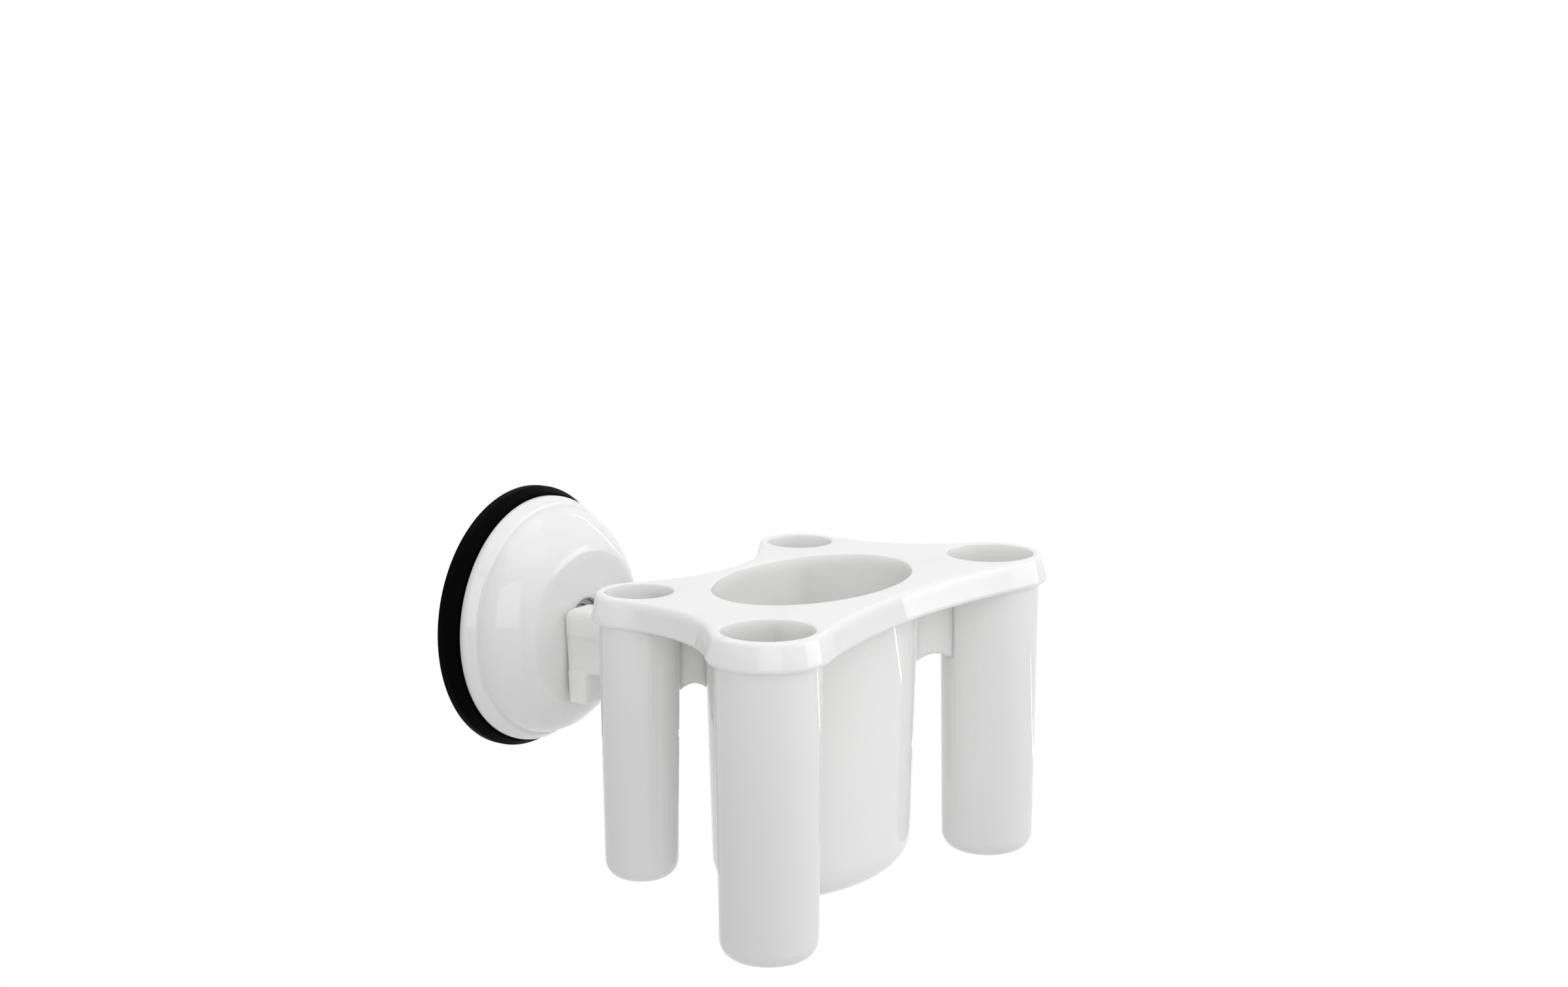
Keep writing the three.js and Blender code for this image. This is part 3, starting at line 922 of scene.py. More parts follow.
@dataclass
class SuctionHousing:
    """White dome: rim with a ledge, rounded shoulder, dished front with an arched window and a slot.

    Stations of its half section are (radius, rise): over the seat for the dish, over the rim for the rest.
    """

    wall: float = 2.0
    seat_radius: float = 10.5
    seat_drop: float = 0.8
    dish: Stations = ((12.6, 0.13), (14.8, 0.4), (16.6, 0.72))
    edge_radius: float = 17.8
    shoulder: Stations = (
        (19.0, 14.7), (20.7, 13.3), (22.4, 11.65), (24.1, 9.75), (25.25, 8.3), (26.05, 6.8), (26.5, 5.3),
    )
    wall_foot: tuple[float, float] = (26.6, 4.3)
    ledge: Stations = ((26.7, 3.85, 0.55), (27.5, 3.62, 0.4))
    band_lean: float = 0.04
    band_height: float = 1.6
    band_round: float = 1.2
    rim_round: float = 0.5
    window_radius: float = 6.4
    window_height: float = 6.3
    window_sill: float = 1.2
    slot_half: float = 3.1
    slot_rise: float = 3.3
    ridge_rise: float = 0.16
    ridge_reach: float = 0.9
    ridge_middle: float = 82.0
    ridge_span: tuple[float, float] = (24.0, 60.0)
    fade_drop: float = 1.2
    fade_reach: float = 7.0
    fade_tip: float = 0.7
    fade_middle: float = 208.0
    fade_span: tuple[float, float] = (40.0, 125.0)
    lip: float = 0.3
    guide_radius: float = 4.8
    guide_wall: float = 1.5
    guide_start: float = 9.7
    columns: int = 240

    def dome_line(self) -> Profile:
        """Outer half section from the seat under the lever over the dish's edge to the wall's foot.

        Returns:
            Points (n, 2) as (radius, depth).
        """
        seat, base = self._seat(), self._base()
        return smooth_line([
            (self.seat_radius, seat),
            *((radius, seat + rise) for radius, rise in self.dish),
            (self.edge_radius, seat + self.seat_drop),
            *((radius, base + rise) for radius, rise in (*self.shoulder, self.wall_foot)),
        ], 7)

    def _seat(self) -> float:
        """Depth of the flat seat under the lever's hub."""
        return -box_mm("suction_housing")[0][1] - self.seat_drop

    @staticmethod
    def _base() -> float:
        """Depth of the rim's plane on the pad."""
        return -box_mm("suction_housing")[1][1]

    def rim_line(self) -> Profile:
        """Outer half section from the wall's foot over a narrow ledge and the sloping band to the pad.

        Returns:
            Points (n, 2) as (radius, depth).
        """
        rim, base = box_mm("suction_housing")[1][0], self._base()
        corners = [
            (*self.wall_foot, 0),
            *self.ledge,
            (rim - self.band_lean, self.band_height, self.band_round),
            (rim, 0, self.rim_round),
            (rim - self.wall, 0, 0),
        ]
        return rounded([(radius, base + rise, bend) for radius, rise, bend in corners])

    def relief(self, radius: np.ndarray, angle: np.ndarray) -> np.ndarray:
        """Height on the dish's edge: a fine lip along its top, and a wide drop on its left.

        Args:
            radius: distances from the axis, one per row.
            angle: angles round the axis, one per column.

        Returns:
            Heights (rows, columns) in millimetres.
        """
        lip = self._bell(radius)[:, None] * self._sector(angle, self.ridge_middle, self.ridge_span)
        drop = self._tent(radius)[:, None] * self._sector(angle, self.fade_middle, self.fade_span)
        return self.ridge_rise * lip - self.fade_drop * drop

    def _bell(self, radius: np.ndarray) -> np.ndarray:
        """Squared cosine that is 1 on the dish's edge and 0 from the lip's reach on."""
        across = np.clip((radius - self.edge_radius) / self.ridge_reach, -1, 1)
        return np.cos(across * math.pi / 2) ** 2

    def _tent(self, radius: np.ndarray) -> np.ndarray:
        """Square of a tent with a round tip: 1 on the dish's edge and 0 from the fade's reach on."""
        away = np.hypot(radius - self.edge_radius, self.fade_tip) - self.fade_tip
        return np.clip(1 - away / self.fade_reach, 0, 1) ** 2

    @staticmethod
    def _sector(angle: np.ndarray, middle: float, span: tuple[float, float]) -> np.ndarray:
        """1 within the span's first angle from the middle and 0 past its second, eased between.

        Args:
            angle: angles in radians.
            middle: middle in degrees.
            span: the two angles from the middle in degrees.

        Returns:
            A row (1, n).
        """
        away = np.abs((np.degrees(angle) - middle + 180) % 360 - 180)
        share = np.clip((span[1] - away) / (span[1] - span[0]), 0, 1)
        return (share**2 * (3 - 2 * share))[None]

    def opening(self) -> np.ndarray:
        """Outline of the arched window with the slot below it, anticlockwise, evenly spaced.

        Returns:
            Points (columns, 2) as (x, z).
        """
        hub = self.window_height - self.window_radius
        reach = math.asin((self.window_sill - hub) / self.window_radius)
        arch = arc((0, hub), self.window_radius, np.linspace(reach, math.pi - reach, 49))
        s, r = self.slot_half, self.slot_rise
        below = np.array([[-s, self.window_sill], [-s, -r], [s, -r], [s, self.window_sill]])
        line = np.concatenate([arch, below, arch[:1]])
        length = np.concatenate([[0], np.cumsum(np.linalg.norm(np.diff(line, axis=0), axis=1))])
        even = np.linspace(0, length[-1], self.columns, endpoint=False)
        return np.stack([np.interp(even, length, line[:, k]) for k in range(2)], axis=1)

    def surface(self) -> np.ndarray:
        """Grid that runs from the opening over the dome, round its rim, back inside and out again.

        Returns:
            Rows (n, columns, 3) as (x, z, y), of which the last joins the first.
        """
        dome, rim = self.dome_line(), self.rim_line()
        outer = np.concatenate([dome[:-1], rim])
        inner = np.concatenate([rim[-1:], inset(dome, -self.wall)[::-1]])
        opening = self.opening()
        angle = math.atan2(opening[0, 1], opening[0, 0]) + full_turn(self.columns)
        share = np.linspace(0, 1, 9)[:-1, None, None]
        wide = opening * (1 + self.lip / self.window_radius)
        apron = wide * (1 - share) + outer[0, 0] * spokes(angle) * share
        back = opening * (1 - share[::-1]) + inner[-1, 0] * spokes(angle) * share[::-1]
        return np.concatenate([
            raised(opening[None], self.lip - outer[0, 1]),
            raised(apron, -outer[0, 1]),
            self._rings(dense(outer, 0.8), angle),
            self._rings(dense(inner, 1.2)[1:], angle),
            raised(back, -inner[-1, 1]),
        ])

    def _rings(self, line: Profile, angle: np.ndarray) -> np.ndarray:
        """A section of (radius, depth) turned through the angles, with the relief added."""
        depth = line[:, 1:] + self.relief(line[:, 0], angle)
        return raised(line[:, None, :1] * spokes(angle), -depth)

    def build(self, shelf: FinishShelf) -> None:
        """Makes the dome and the guide inside it.

        Args:
            shelf: the shared materials.
        """
        dome = Skin().grid(self.surface(), Along.Y, ring=True).build("suction_dome")
        dress(dome, shelf.white, Body.HOUSING, Slot.WHITE, "suction_housing")
        end = self._seat() - self.wall
        ring = rounded([
            (self.guide_radius, end, 0),
            (self.guide_radius, self.guide_start, 0.4),
            (self.guide_radius + self.guide_wall, self.guide_start, 0.4),
            (self.guide_radius + self.guide_wall, end, 0),
        ])
        guide = Skin().grid(turned(ring, 96), ring=True).build("post_guide")
        dress(guide, shelf.white, Body.HOUSING, Slot.WHITE)


@dataclass
class CamLever:
    """Lever block: cam hub with a fork for the stem's eye, thick body with a spigot, thin finger tip."""

    tip_thickness: float = 4.8
    tip_gap: float = 0.28
    hub_corner: float = 1.5
    back_corner: float = 3.2
    edge: float = 0.45
    step_round: float = 0.6
    step_fillet: float = 0.5
    step_slope: float = 0.05
    nose_degrees: float = 88.0
    panel_depth: float = 0.28
    body_top: float = -0.8
    body_foot: float = -9.8
    step_level: float = -8.9
    cam_foot: float = -1.4
    ridge_back: float = 1.4
    spigot_half: tuple[float, float] = (4.2, 2.7)
    spigot_length: float = 14.0
    spigot_root: float = 1.5
    spigot_edge: float = 0.5
    fork_half: float = 2.9
    fork_radius: float = 3.1
    bore_radius: float = 1.45
    pin_cover: float = 2.6

    def __post_init__(self) -> None:
        """Reads the lever's reach and its pin from the frame."""
        self.low, self.high = box_mm("cam_lever")
        self.pin = pin_place()
        self.top, self.foot = self.high[2], self.low[2]
        self.front = self.low[1] + self.spigot_length
        self.tip_back = box_mm("suction_housing")[0][1] - self.tip_gap

    def cam(self) -> np.ndarray:
        """Back of the cam: a flat that presses on the seat, and a rounded corner up to the top.

        Returns:
            Points (n, 2) as (y, z), with rising z.
        """
        turn = np.linspace(0, math.pi / 2, 24)
        hub = (self.high[1] - self.back_corner, self.top - self.back_corner)
        return np.concatenate([[[self.high[1], self.cam_foot]], arc(hub, self.back_corner, turn)])

    def front_line(self, ridge: float) -> np.ndarray:
        """Front as (y, z) from the foot up: tip, step to the body, then a quarter ellipse to the ridge.

        Args:
            ridge: y of the hub's highest line.

        Returns:
            Points (n, 2) with rising z.
        """
        tip = self.tip_back - self.tip_thickness
        body = rounded([
            (tip, self.foot, 0),
            (tip, self.step_level - self.step_slope, self.step_fillet),
            (self.front, self.step_level + self.step_slope, self.step_round),
            (self.front, 0, 0),
        ])
        turn = np.radians(np.linspace(0, self.nose_degrees, 28))[1:]
        nose = np.stack([ridge + (self.front - ridge) * np.cos(turn), self.top * np.sin(turn)], axis=1)
        foot = self.edge * (1 - np.cos(np.linspace(0, math.pi / 2, 7)[1:]))
        start = np.stack([np.full(len(foot), tip), self.foot + foot], axis=1)
        return np.concatenate([body[:1], start, dense(body[1:], 0.6), nose])

    def block(self) -> np.ndarray:
        """Soft-edged rectangles stacked up Z between the lever's back line and its front line.

        Returns:
            Rows (n, m, 3) from the foot up.
        """
        cam = self.cam()
        front, z = self.front_line(self.pin[1] + self.ridge_back).T
        back = np.where(
            z < cam[0, 1],
            np.interp(z, [self.foot, cam[0, 1]], [self.tip_back, cam[0, 0]]),
            np.interp(z, cam[:, 1], cam[:, 0]),
        )
        shoulder = np.clip(z - (self.top - self.hub_corner), 0, self.hub_corner)
        half = self.high[0] - self.hub_corner + np.sqrt(self.hub_corner**2 - shoulder**2)
        rise = np.clip(z - self.foot, 0, self.edge)
        trim = self.edge - np.sqrt(np.clip(self.edge**2 - (self.edge - rise) ** 2, 0, None))
        panel = self._step(z, self.step_level) - self._step(z, self.body_top)
        half_u = half - trim - self.panel_depth * panel
        half_v = (back - front) / 2 - trim
        corner = np.minimum(self.edge, 0.9 * np.minimum(half_u, half_v))
        plan = soft_boxes(half_u, half_v, corner)
        plan[..., 1] += ((back + front) / 2)[:, None]
        return raised(plan, z[:, None])

    @staticmethod
    def _step(z: np.ndarray, level: float, soft: float = 0.5) -> np.ndarray:
        """0 below a level and 1 above it, with a short slope between."""
        return np.clip((z - level) / soft + 0.5, 0, 1)

    def spigot(self) -> Skin:
        """Soft-edged bar that the tray's arm pushes on to.

        Returns:
            The closed bar.
        """
        rows = edge_rows(self.front + self.spigot_root, self.low[1], self.spigot_edge, self.spigot_edge)
        half = self.spigot_half
        plan = soft_boxes(half[0] - rows[:, 0], half[1] - rows[:, 0], np.full(len(rows), self.spigot_edge))
        plan[..., 1] += (self.body_top + self.body_foot) / 2
        return Skin().bar(raised(plan, rows[:, 1:]), Along.Y)

    def fork(self) -> Skin:
        """Room for the stem's eye: open at the back and the top, round in front of the pin.

        Returns:
            The closed solid to take out.
        """
        far = 3 * self.top
        quarter = arc(self.pin[1:], self.fork_radius, np.linspace(math.pi, 1.5 * math.pi, 25))
        outline = np.concatenate([
            [[self.pin[1] - self.fork_radius, far]],
            quarter,
            [[self.pin[1] + far, -self.fork_radius], [self.pin[1] + far, far]],
        ])
        span = np.array([[0, -self.fork_half], [0, self.fork_half]])
        return Skin().bar(Loop.through(outline).wall(span), Along.X)

    def bore(self) -> Skin:
        """Hole for the pin, closed on the left and open on the right.

        Returns:
            The closed solid to take out.
        """
        line = Loop.circle(self.pin[1:], self.bore_radius, full_turn(48))
        span = np.array([[0, self.low[0] + self.pin_cover], [0, self.high[0] + 1]])
        return Skin().bar(line.wall(span), Along.X)

    def build(self, shelf: FinishShelf) -> None:
        """Joins block and spigot, then takes out the fork and the pin's bore.

        Args:
            shelf: the shared materials.
        """
        lever = combined("cam_lever_block", Skin().bar(self.block()), [
            (Cut.JOIN, self.spigot()),
            (Cut.TAKE, self.fork()),
            (Cut.TAKE, self.bore()),
        ])
        dress(lever, shelf.white, Body.LEVER, Slot.WHITE, "cam_lever")


# Tray


@dataclass
class Tray:
    """Deck, cup and tubes as the one moulding that they are, with webs; the hanger arm is made by
    HangerArm.
    """

    rims: tuple[float, ...] = (2.0, 2.0, 1.7, 1.7)
    hollows: tuple[float, ...] = (153.0, 33.8, 36.0, 33.8)
    plate: float = 2.2
    skirt: float = 1.8
    rim_lean: float = 1.35
    rim_round: float = 1.2
    rim_run: float = 0.82
    rim_bulge: float = 0.02
    rim_strip: float = 0.15
    rim_foot_round: float = 0.8
    flat_ring: float = 0.1
    lip: float = 0.42
    touch: float = 0.95
    floor_flat: float = 0.4
    tube_wall: float = 1.4
    tube_draft: float = 0.85
    tube_floor: float = 1.6
    tube_fillet: float = 4.2
    cup_wall: float = 1.6
    cup_draft: float = 1.7
    cup_floor: float = 1.8
    cup_fillet: float = 8.0
    ceiling_fillet: float = 0.4
    link_angle: float = 0.5
    web_half: float = 1.2
    web_arch: float = 2.0
    web_bury: tuple[float, float] = (0.8, 1.15)
    web_top_bury: float = 0.3
    lobe_points: int = 40
    hollow_points: int = 34
    inner_points: int = 44
    cup_points: int = 200

    def __post_init__(self) -> None:
        """Reads the deck's levels, the tubes' places and the cup's oval from the frame."""
        low, high = box_mm("tray_deck")
        self.under, self.top = low[2], high[2]
        boxes = [box_mm(f"brush_tube_{name}") for name in TUBES]
        self.centres = np.array([(a + b)[:2] / 2 for a, b in boxes])
        self.radii = np.array([(b - a)[0] / 2 for a, b in boxes])
        self.feet = np.array([a[2] for a, b in boxes])
        low, high = box_mm("paste_cup")
        self.cup_foot = low[2]
        self.cup_centre = (low + high)[:2] / 2
        drawn = self.cup_draft * (self.top - self.under) / (self.top - self.cup_foot)
        self.cup_half = (high - low)[:2] / 2 + drawn
        self.web_low = box_mm("web_front_left")[0][2]
        self._plan()

    def _plan(self) -> None:
        """Works out the lobed plan: lobes round the tubes, joined by hollow arcs that touch them.

        A hollow arc's hub lies where circles of (lobe + hollow) radius round both neighbours meet.
        """
        lobes = self.radii + np.array(self.rims)
        hollows = np.array(self.hollows)
        along = np.roll(self.centres, -1, axis=0) - self.centres
        span = np.linalg.norm(along, axis=1)
        along /= span[:, None]
        from_here, from_next = lobes + hollows, np.roll(lobes, -1) + hollows
        reach = (from_here**2 - from_next**2 + span**2) / (2 * span)
        height = np.sqrt(from_here**2 - reach**2)
        aside = np.stack([along[:, 1], -along[:, 0]], axis=1)
        self.hubs = self.centres + reach[:, None] * along + height[:, None] * aside
        full = 2 * math.pi
        self.start = bearing(self.centres, np.roll(self.hubs, 1, axis=0))
        self.stop = self.start + (bearing(self.centres, self.hubs) - self.start) % full
        self.hub_start = bearing(self.hubs, self.centres)
        after = bearing(self.hubs, np.roll(self.centres, -1, axis=0))
        self.hub_stop = self.hub_start - (self.hub_start - after) % full
        self.lobes = lobes

    def outline(self) -> Loop:
        """Deck's outline at its widest.

        Returns:
            The loop, anticlockwise from the first tube's lobe.
        """
        points, normals = [], []
        for k in range(len(TUBES)):
            lobe = np.linspace(self.start[k], self.stop[k], self.lobe_points)
            hollow = np.linspace(self.hub_start[k], self.hub_stop[k], self.hollow_points + 2)[1:-1]
            points.append(arc(self.centres[k], self.lobes[k], lobe))
            points.append(arc(self.hubs[k], self.hollows[k], hollow))
            normals += [spokes(lobe), -spokes(hollow)]
        return Loop(np.concatenate(points), np.concatenate(normals))

    def skirt_line(self, k: int) -> np.ndarray:
        """Inner side of the skirt along one hollow, stopped short of the tubes at both ends.

        Args:
            k: number of the tube before the hollow.

        Returns:
            Points (n, 2).
        """
        radius = self.hollows[k] + self.skirt
        trim = self.link_angle * self.radii[[k, (k + 1) % len(TUBES)]] / radius
        angles = np.linspace(self.hub_start[k] - trim[0], self.hub_stop[k] + trim[1], self.hollow_points)
        return arc(self.hubs[k], radius, angles)

    def outer_arc(self, k: int) -> np.ndarray:
        """Angles of a tube's side that meets the rim.

        Args:
            k: the tube's number.

        Returns:
            Angles (n,).
        """
        first, last = self.start[k] - self.link_angle, self.stop[k] + self.link_angle
        return np.linspace(first, last, self.lobe_points)

    def inner_arc(self, k: int) -> np.ndarray:
        """Angles of a tube's side that faces the pocket under the deck.

        Args:
            k: the tube's number.

        Returns:
            Angles (n,).
        """
        first, last = self.stop[k] + self.link_angle, self.start[k] - self.link_angle + 2 * math.pi
        return np.linspace(first, last, self.inner_points)

    def strip_loop(self) -> np.ndarray:
        """Inner edge of the rim's underside: round each tube, then along the skirt.

        Returns:
            Points (n, 2), one for each of the outline's.
        """
        return np.concatenate([
            part
            for k in range(len(TUBES))
            for part in (arc(self.centres[k], self.radii[k], self.outer_arc(k)), self.skirt_line(k))
        ])

    def pocket_loop(self) -> np.ndarray:
        """Edge of the pocket under the deck: along each skirt, then back round the next tube.

        Returns:
            Points (n, 2).
        """
        parts = []
        for k in range(len(TUBES)):
            after = (k + 1) % len(TUBES)
            parts.append(self.skirt_line(k))
            parts.append(arc(self.centres[after], self.radii[after], self.inner_arc(after)[::-1]))
        return np.concatenate(parts)

    def tube_loop(self, k: int) -> Loop:
        """A tube's outside at the deck, sampled where the rim and the pocket need it.

        Args:
            k: the tube's number.

        Returns:
            The loop.
        """
        angles = np.concatenate([self.outer_arc(k), self.inner_arc(k)[1:-1]])
        return Loop.circle(self.centres[k], self.radii[k], angles)

    def rim_profile(self) -> Profile:
        """Rim's section from the flat top round its soft edges to its flat underside.

        Returns:
            (outward offset, height) of each row.
        """
        edge = -self.rim_lean
        return rounded([
            (edge - self.rim_run * self.rim_round - self.flat_ring, self.top, 0),
            (edge - self.rim_run * self.rim_round, self.top, 0),
            (edge, self.top, self.rim_round),
            (self.rim_bulge, self.under, self.rim_foot_round),
            (-self.rim_foot_round - self.rim_strip, self.under, 0),
        ], 9)

    def bore_profile(self, wall: float, draft: float, floor: float, fillet: float) -> Profile:
        """Inside section from the flat top over the lip and down to the flat floor, with a draft.

        Args:
            wall: thickness of the wall.
            draft: how far the wall leans in on its way down.
            floor: height of the floor.
            fillet: radius between wall and floor.

        Returns:
            (outward offset, height) of each row.
        """
        return rounded([
            (self.lip + self.flat_ring - wall, self.top, 0),
            (self.lip - wall, self.top, 0),
            (-wall, self.top, self.lip * self.touch),
            (-wall, self.under, 0),
            (-wall - draft, floor, fillet),
            (-wall - draft - fillet - self.floor_flat, floor, 0),
        ], 8)

    def foot_profile(self, start: Sequence[tuple[float, float, float]], draft: float, foot: float,
                     fillet: float) -> Profile:
        """Outside section from the deck down to the flat foot, with a draft and a round corner.

        Args:
            start: corners under the deck.
            draft: how far the wall leans in on its way down.
            foot: height of the foot.
            fillet: radius between wall and foot.

        Returns:
            (outward offset, height) of each row.
        """
        end = -draft - fillet - self.floor_flat
        return rounded([*start, (-draft, foot, fillet), (end, foot, 0)], 10)

    def moulding(self) -> bpy.types.Object:
        """Deck, cup and tubes as one closed skin.

        Returns:
            The finished piece.
        """
        skin = Skin()
        outline, strip, pocket = self.outline(), self.strip_loop(), self.pocket_loop()
        ceiling = self.top - self.plate
        rim = outline.wall(self.rim_profile())
        skin.grid(np.concatenate([rim, at_height(strip, self.under)[None]]))
        skin.grid(np.stack([at_height(pocket, self.under), at_height(pocket, ceiling)]))
        holes = []
        for k in range(len(TUBES)):
            loop = self.tube_loop(k)
            inside = self.bore_profile(self.tube_wall, self.tube_draft, self.feet[k] + self.tube_floor,
                                       self.tube_fillet - self.tube_wall)
            outside = self.foot_profile([(0, self.under, 0)], self.tube_draft, self.feet[k],
                                        self.tube_fillet)
            holes.append(self._walls(skin, loop, inside, outside))
        cup = Loop.oval(self.cup_centre, self.cup_half, self.cup_points)
        f = self.ceiling_fillet
        inside = self.bore_profile(self.cup_wall, self.cup_draft, self.cup_foot + self.cup_floor,
                                   self.cup_fillet - self.cup_wall)
        outside = self.foot_profile([(f, ceiling, 0), (0, ceiling, f * 0.9), (0, self.under, 0)],
                                    self.cup_draft, self.cup_foot, self.cup_fillet)
        holes.append(self._walls(skin, cup, inside, outside))
        skin.fill(rim[0], *holes)
        skin.fill(at_height(pocket, ceiling), at_height(cup.moved(f), ceiling))
        return skin.build("tray_moulding")

    @staticmethod
    def _walls(skin: Skin, loop: Loop, inside: Profile, outside: Profile) -> np.ndarray:
        """Adds the inside and the outside of a cup or tube.

        Args:
            skin: the skin that they go into.
            loop: the plan of the outside.
            inside: section from the top to the floor.
            outside: section from the deck to the foot.

        Returns:
            The hole's edge on the flat top.
        """
        bore = loop.wall(dense(inside, 3.0))
        shell = loop.wall(dense(outside, 3.0))
        skin.grid(bore).fill(bore[-1])
        skin.grid(shell).fill(shell[-1])
        return bore[0]

    def web(self, k: int) -> bpy.types.Object:
        """Plate from a tube to the cup: a round-edged section carried along an arched low line.

        Args:
            k: the tube's number.

        Returns:
            The finished piece.
        """
        away = self.cup_centre - self.centres[k]
        length = np.linalg.norm(away)
        along = away / length
        reach = 1 / np.linalg.norm(along / self.cup_half)
        s = np.linspace(self.radii[k] - self.web_bury[0], length - reach + self.web_bury[1], 25)
        middle = (s[0] + s[-1]) / 2
        low = self.web_low + self.web_arch * (1 - ((s - middle) / (s[-1] - middle)) ** 2)
        turn = np.linspace(0, math.pi, 15)
        across = np.concatenate([[self.web_half], self.web_half * np.cos(turn), [-self.web_half]])
        round_edge = self.web_half * (1 - np.sin(turn))
        top = np.full(len(s), self.top - self.plate + self.web_top_bury)
        z = np.column_stack([top, low[:, None] + round_edge, top])
        side = np.array([along[1], -along[0]])
        plan = self.centres[k] + s[:, None, None] * along + across[None, :, None] * side
        rows = raised(plan, z)
        plane = np.array([[*side, 0], [0, 0, 1]])
        skin = Skin().grid(rows).fill(rows[0], plane=plane).fill(rows[-1], plane=plane)
        return skin.build(f"web_{TUBES[k]}_plate")

    def build(self, shelf: FinishShelf) -> None:
        """Makes the moulding and its webs.

        Args:
            shelf: the shared materials.
        """
        nodes = ["tray_deck", "paste_cup", *(f"brush_tube_{name}" for name in TUBES)]
        dress(self.moulding(), shelf.white, Body.TRAY, Slot.WHITE, *nodes)
        for k, name in enumerate(TUBES):
            dress(self.web(k), shelf.white, Body.TRAY, Slot.WHITE, f"web_{name}")


@dataclass
class HangerArm:
    """Arm from the lever to the cup: soft rectangles that flare on to the cup's back, with a socket."""

    tray: Tray
    side: float = 6.0
    top: float = -0.8
    foot: float = -9.8
    root_half: float = 9.0
    root_top: float = 4.0
    root_foot: float = -6.6
    corner: float = 1.5
    edge: float = 0.35
    socket_half: tuple[float, float] = (4.5, 3.0)
    socket_depth: float = 14.0
    socket_chamfer: float = 0.3
    socket_corner: float = 0.6
    bury: float = 0.8

    def rows(self) -> np.ndarray:
        """Sections along the arm: width and top follow the fourth power of the way, the foot is straight.

        Returns:
            Rows (n, m, 3) from the lever on, the last ones closing in over the cup's curve.
        """
        start = box_mm("hanger_arm")[1][1]
        share = np.concatenate([np.linspace(0, 0.02, 5), np.linspace(0.05, 1, 40)])
        flare = share**4
        half = self.side + (self.root_half - self.side) * flare
        top = self.top + (self.root_top - self.top) * flare
        foot = self.foot + (self.root_foot - self.foot) * share
        length = abs(self.tray.cup_centre[1] + self.tray.cup_half[1] - start)
        near = np.clip(share * length, 0, self.edge)
        trim = self.edge - np.sqrt(self.edge**2 - (self.edge - near) ** 2)
        plan = soft_boxes(half - trim, (top - foot) / 2 - trim, np.full(len(share), self.corner))
        plan[..., 1] += ((top + foot) / 2)[:, None]
        stop = self._cup_back(plan)
        depth = start + (stop - start) * share[:, None]
        middle = plan[-1].mean(axis=0)
        close = middle + (plan[-1] - middle) * np.linspace(0.85, 0.04, 7)[:, None, None]
        plan = np.concatenate([plan, close])
        depth = np.concatenate([depth, self._cup_back(close)])
        return raised(plan, depth)

    def _cup_back(self, plan: np.ndarray) -> np.ndarray:
        """Y just under the cup's back surface at each (x, z): the oval, drawn in by the draft.

        Args:
            plan: points (..., 2) as (x, z).

        Returns:
            Y of each point.
        """
        tray = self.tray
        drawn = tray.cup_draft * (tray.top - plan[..., 1]) / (tray.top - tray.cup_foot)
        half = tray.cup_half - drawn[..., None] - self.bury
        return tray.cup_centre[1] + half[..., 1] * np.sqrt(1 - (plan[..., 0] / half[..., 0]) ** 2)

    def build(self, shelf: FinishShelf) -> None:
        """Makes the arm with its socket.

        Args:
            shelf: the shared materials.
        """
        rows = self.rows()
        start = rows[0, 0, 2]
        deep = np.array([0.0, self.socket_chamfer, self.socket_depth])
        grow = np.array([self.socket_chamfer, 0.0, 0.0])
        half_u, half_v = (half + grow for half in self.socket_half)
        plan = soft_boxes(half_u, half_v, np.full(len(deep), self.socket_corner))
        plan[..., 1] += (self.top + self.foot) / 2
        socket = raised(plan, (start - deep)[:, None])
        skin = Skin().grid(np.concatenate([socket[::-1], rows]), Along.Y)
        skin.fill(socket[-1], along=Along.Y)
        skin.fill(rows[-1], along=Along.Y)
        dress(skin.build("hanger_arm_bar"), shelf.white, Body.TRAY, Slot.WHITE, "hanger_arm")


# Studio


@dataclass
class Camera:
    """The photograph's viewpoint, in metres and degrees."""

    place: tuple[float, float, float] = (-0.528442, -0.435454, 0.163428)
    azimuth: float = 55.70
    pitch: float = 11.157
    roll: float = 0.115
    lens: float = 68.08
    sensor: float = 36.0

    def build(self) -> None:
        """Makes the camera and hands it to the scene."""
        data = bpy.data.cameras.new("photo_camera")
        data.lens = self.lens
        data.sensor_width = self.sensor
        camera = bpy.data.objects.new("photo_camera", data)
        bpy.context.scene.collection.objects.link(camera)
        a, p, r = (math.radians(angle) for angle in (self.azimuth, self.pitch, self.roll))
        forward = Vector((math.sin(a) * math.cos(p), math.cos(a) * math.cos(p), -math.sin(p)))
        level = Vector((math.cos(a), -math.sin(a), 0))
        rise = level.cross(forward)
        right = level * math.cos(r) - rise * math.sin(r)
        up = right.cross(forward)
        turn = Matrix((right, up, -forward)).transposed()
        camera.matrix_world = Matrix.Translation(self.place) @ turn.to_4x4()
        bpy.context.scene.camera = camera


@dataclass(frozen=True)
class Lamp:
    """A soft rectangular light that faces a target point."""

    name: str
    place: tuple[float, float, float]
    size: tuple[float, float]
    power: float
    target: tuple[float, float, float] = (0.0, -0.07, 0.0)
    roll_deg: float = 0.0

    def build(self) -> None:
        """Makes the lamp, turned about its own aim by the roll."""
        data = bpy.data.lights.new(self.name, "AREA")
        data.shape = "RECTANGLE"
        data.size, data.size_y = self.size
        data.energy = self.power
        lamp = bpy.data.objects.new(self.name, data)
        bpy.context.scene.collection.objects.link(lamp)
        aim = Vector(self.target) - Vector(self.place)
        turn = aim.to_track_quat("-Z", "Y").to_matrix().to_4x4()
        roll = Matrix.Rotation(math.radians(self.roll_deg), 4, "Z")
        lamp.matrix_world = Matrix.Translation(self.place) @ turn @ roll


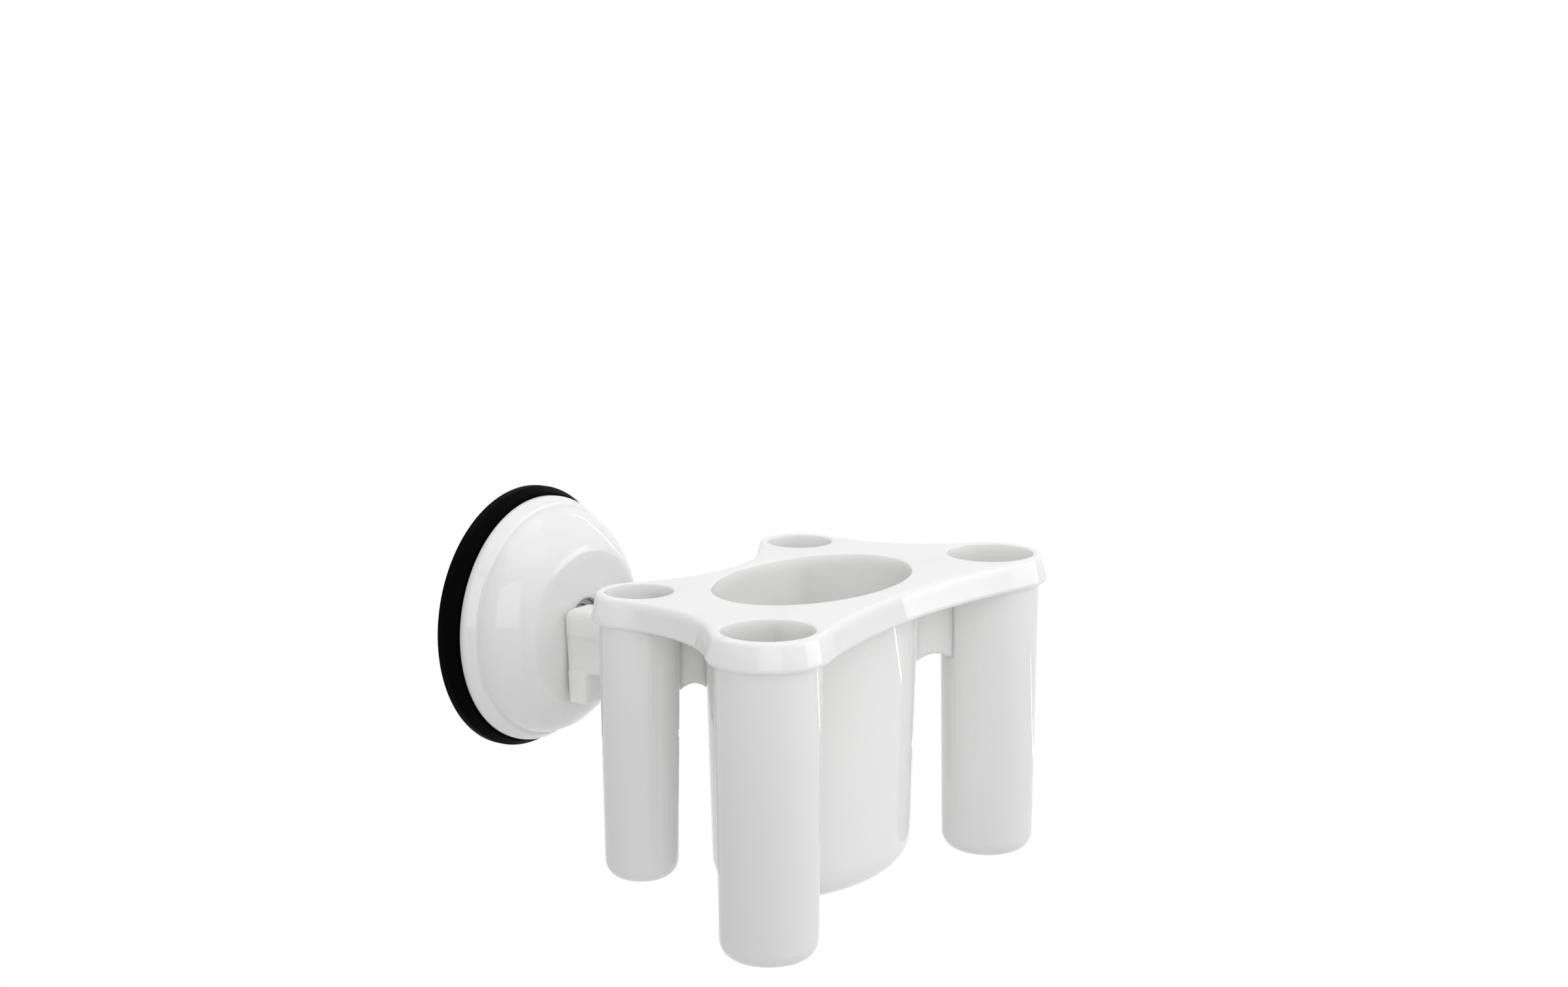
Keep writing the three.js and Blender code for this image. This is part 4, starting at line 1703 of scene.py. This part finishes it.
@dataclass
class Studio:
    """White room: pale floor far below the holder, soft lamps and an even sky."""

    floor_level: float = -0.9
    floor_half: float = 30.0
    floor_colour: Colour = (0.8, 0.8, 0.8)
    floor_rough: float = 0.9
    sky: float = 0.49
    lamps: tuple[Lamp, ...] = (
        Lamp("overhead", (-0.15, -0.35, 1.1), (1.1, 1.1), 2.6),
        Lamp("top_back", (0.15, 0.35, 1.0), (0.9, 0.9), 2.1),
        Lamp("room_side", (0.75, -1.05, 0.35), (0.9, 0.9), 5.0),
        Lamp("camera_fill", (-0.95, -0.8, 0.4), (0.9, 0.9), 3.75),
        Lamp("low_bar", (0.45, -0.11, -0.1425), (0.45, 0.0025), 0.022, (0.002, -0.102, 0.003), -4.2),
        Lamp("wall_strip", (0.77, 0.06, 0.17), (0.01, 0.6), 0.13, (0.0, -0.015, 0.0)),
    )

    def build(self) -> None:
        """Makes floor, sky and lamps."""
        bpy.context.scene.view_settings.view_transform = "Standard"
        self._floor()
        self._sky()
        for lamp in self.lamps:
            lamp.build()

    @staticmethod
    def _show(tree: bpy.types.NodeTree, lit: bpy.types.Node, white: bpy.types.Node, output: str) -> None:
        """Shows white to rays from the camera, in reflections and through glass, and lights with the rest.

        Args:
            tree: nodes of the floor or the sky.
            lit: node that the other rays meet.
            white: node that glows white.
            output: name of the tree's output node.
        """
        path = tree.nodes.new("ShaderNodeLightPath")
        seen = path.outputs["Is Camera Ray"]
        for name in ("Is Glossy Ray", "Is Transmission Ray"):
            node = tree.nodes.new("ShaderNodeMath")
            node.operation = "MAXIMUM"
            tree.links.new(seen, node.inputs[0])
            tree.links.new(path.outputs[name], node.inputs[1])
            seen = node.outputs[0]
        mix = tree.nodes.new("ShaderNodeMixShader")
        for socket, source in zip(mix.inputs, (seen, lit.outputs[0], white.outputs[0])):
            tree.links.new(source, socket)
        tree.links.new(mix.outputs[0], tree.nodes[output].inputs["Surface"])

    def _floor(self) -> None:
        """Pale matte floor that shows as white."""
        h, z = self.floor_half, self.floor_level
        mesh = bpy.data.meshes.new("floor")
        mesh.from_pydata([(-h, -h, z), (h, -h, z), (h, h, z), (-h, h, z)], [], [(0, 1, 2, 3)])
        floor = bpy.data.objects.new("floor", mesh)
        bpy.context.scene.collection.objects.link(floor)
        material = bpy.data.materials.new("floor_white")
        material.use_nodes = True
        tree = material.node_tree
        shader = tree.nodes["Principled BSDF"]
        shader.inputs["Base Color"].default_value = (*self.floor_colour, 1)
        shader.inputs["Roughness"].default_value = self.floor_rough
        self._show(tree, shader, tree.nodes.new("ShaderNodeEmission"), "Material Output")
        mesh.materials.append(material)

    def _sky(self) -> None:
        """Even sky that lights the holder plainly and shows as white."""
        world = bpy.data.worlds.new("sky")
        world.use_nodes = True
        tree = world.node_tree
        light = tree.nodes["Background"]
        light.inputs["Color"].default_value = (1, 1, 1, 1)
        light.inputs["Strength"].default_value = self.sky
        shown = tree.nodes.new("ShaderNodeBackground")
        shown.inputs["Color"].default_value = (1, 1, 1, 1)
        self._show(tree, light, shown, "World Output")
        bpy.context.scene.world = world


def main() -> None:
    """Builds camera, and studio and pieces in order."""
    logging.basicConfig(level=logging.INFO, format="%(name)s %(message)s")
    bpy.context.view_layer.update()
    Camera().build()
    Studio().build()
    shelf = FinishShelf()
    tray = Tray()
    for part in (SuctionPad(), PullStem(), SuctionHousing(), CamLever(), tray, HangerArm(tray)):
        part.build(shelf)
    bpy.context.view_layer.update()


if __name__ == "__main__":
    main()
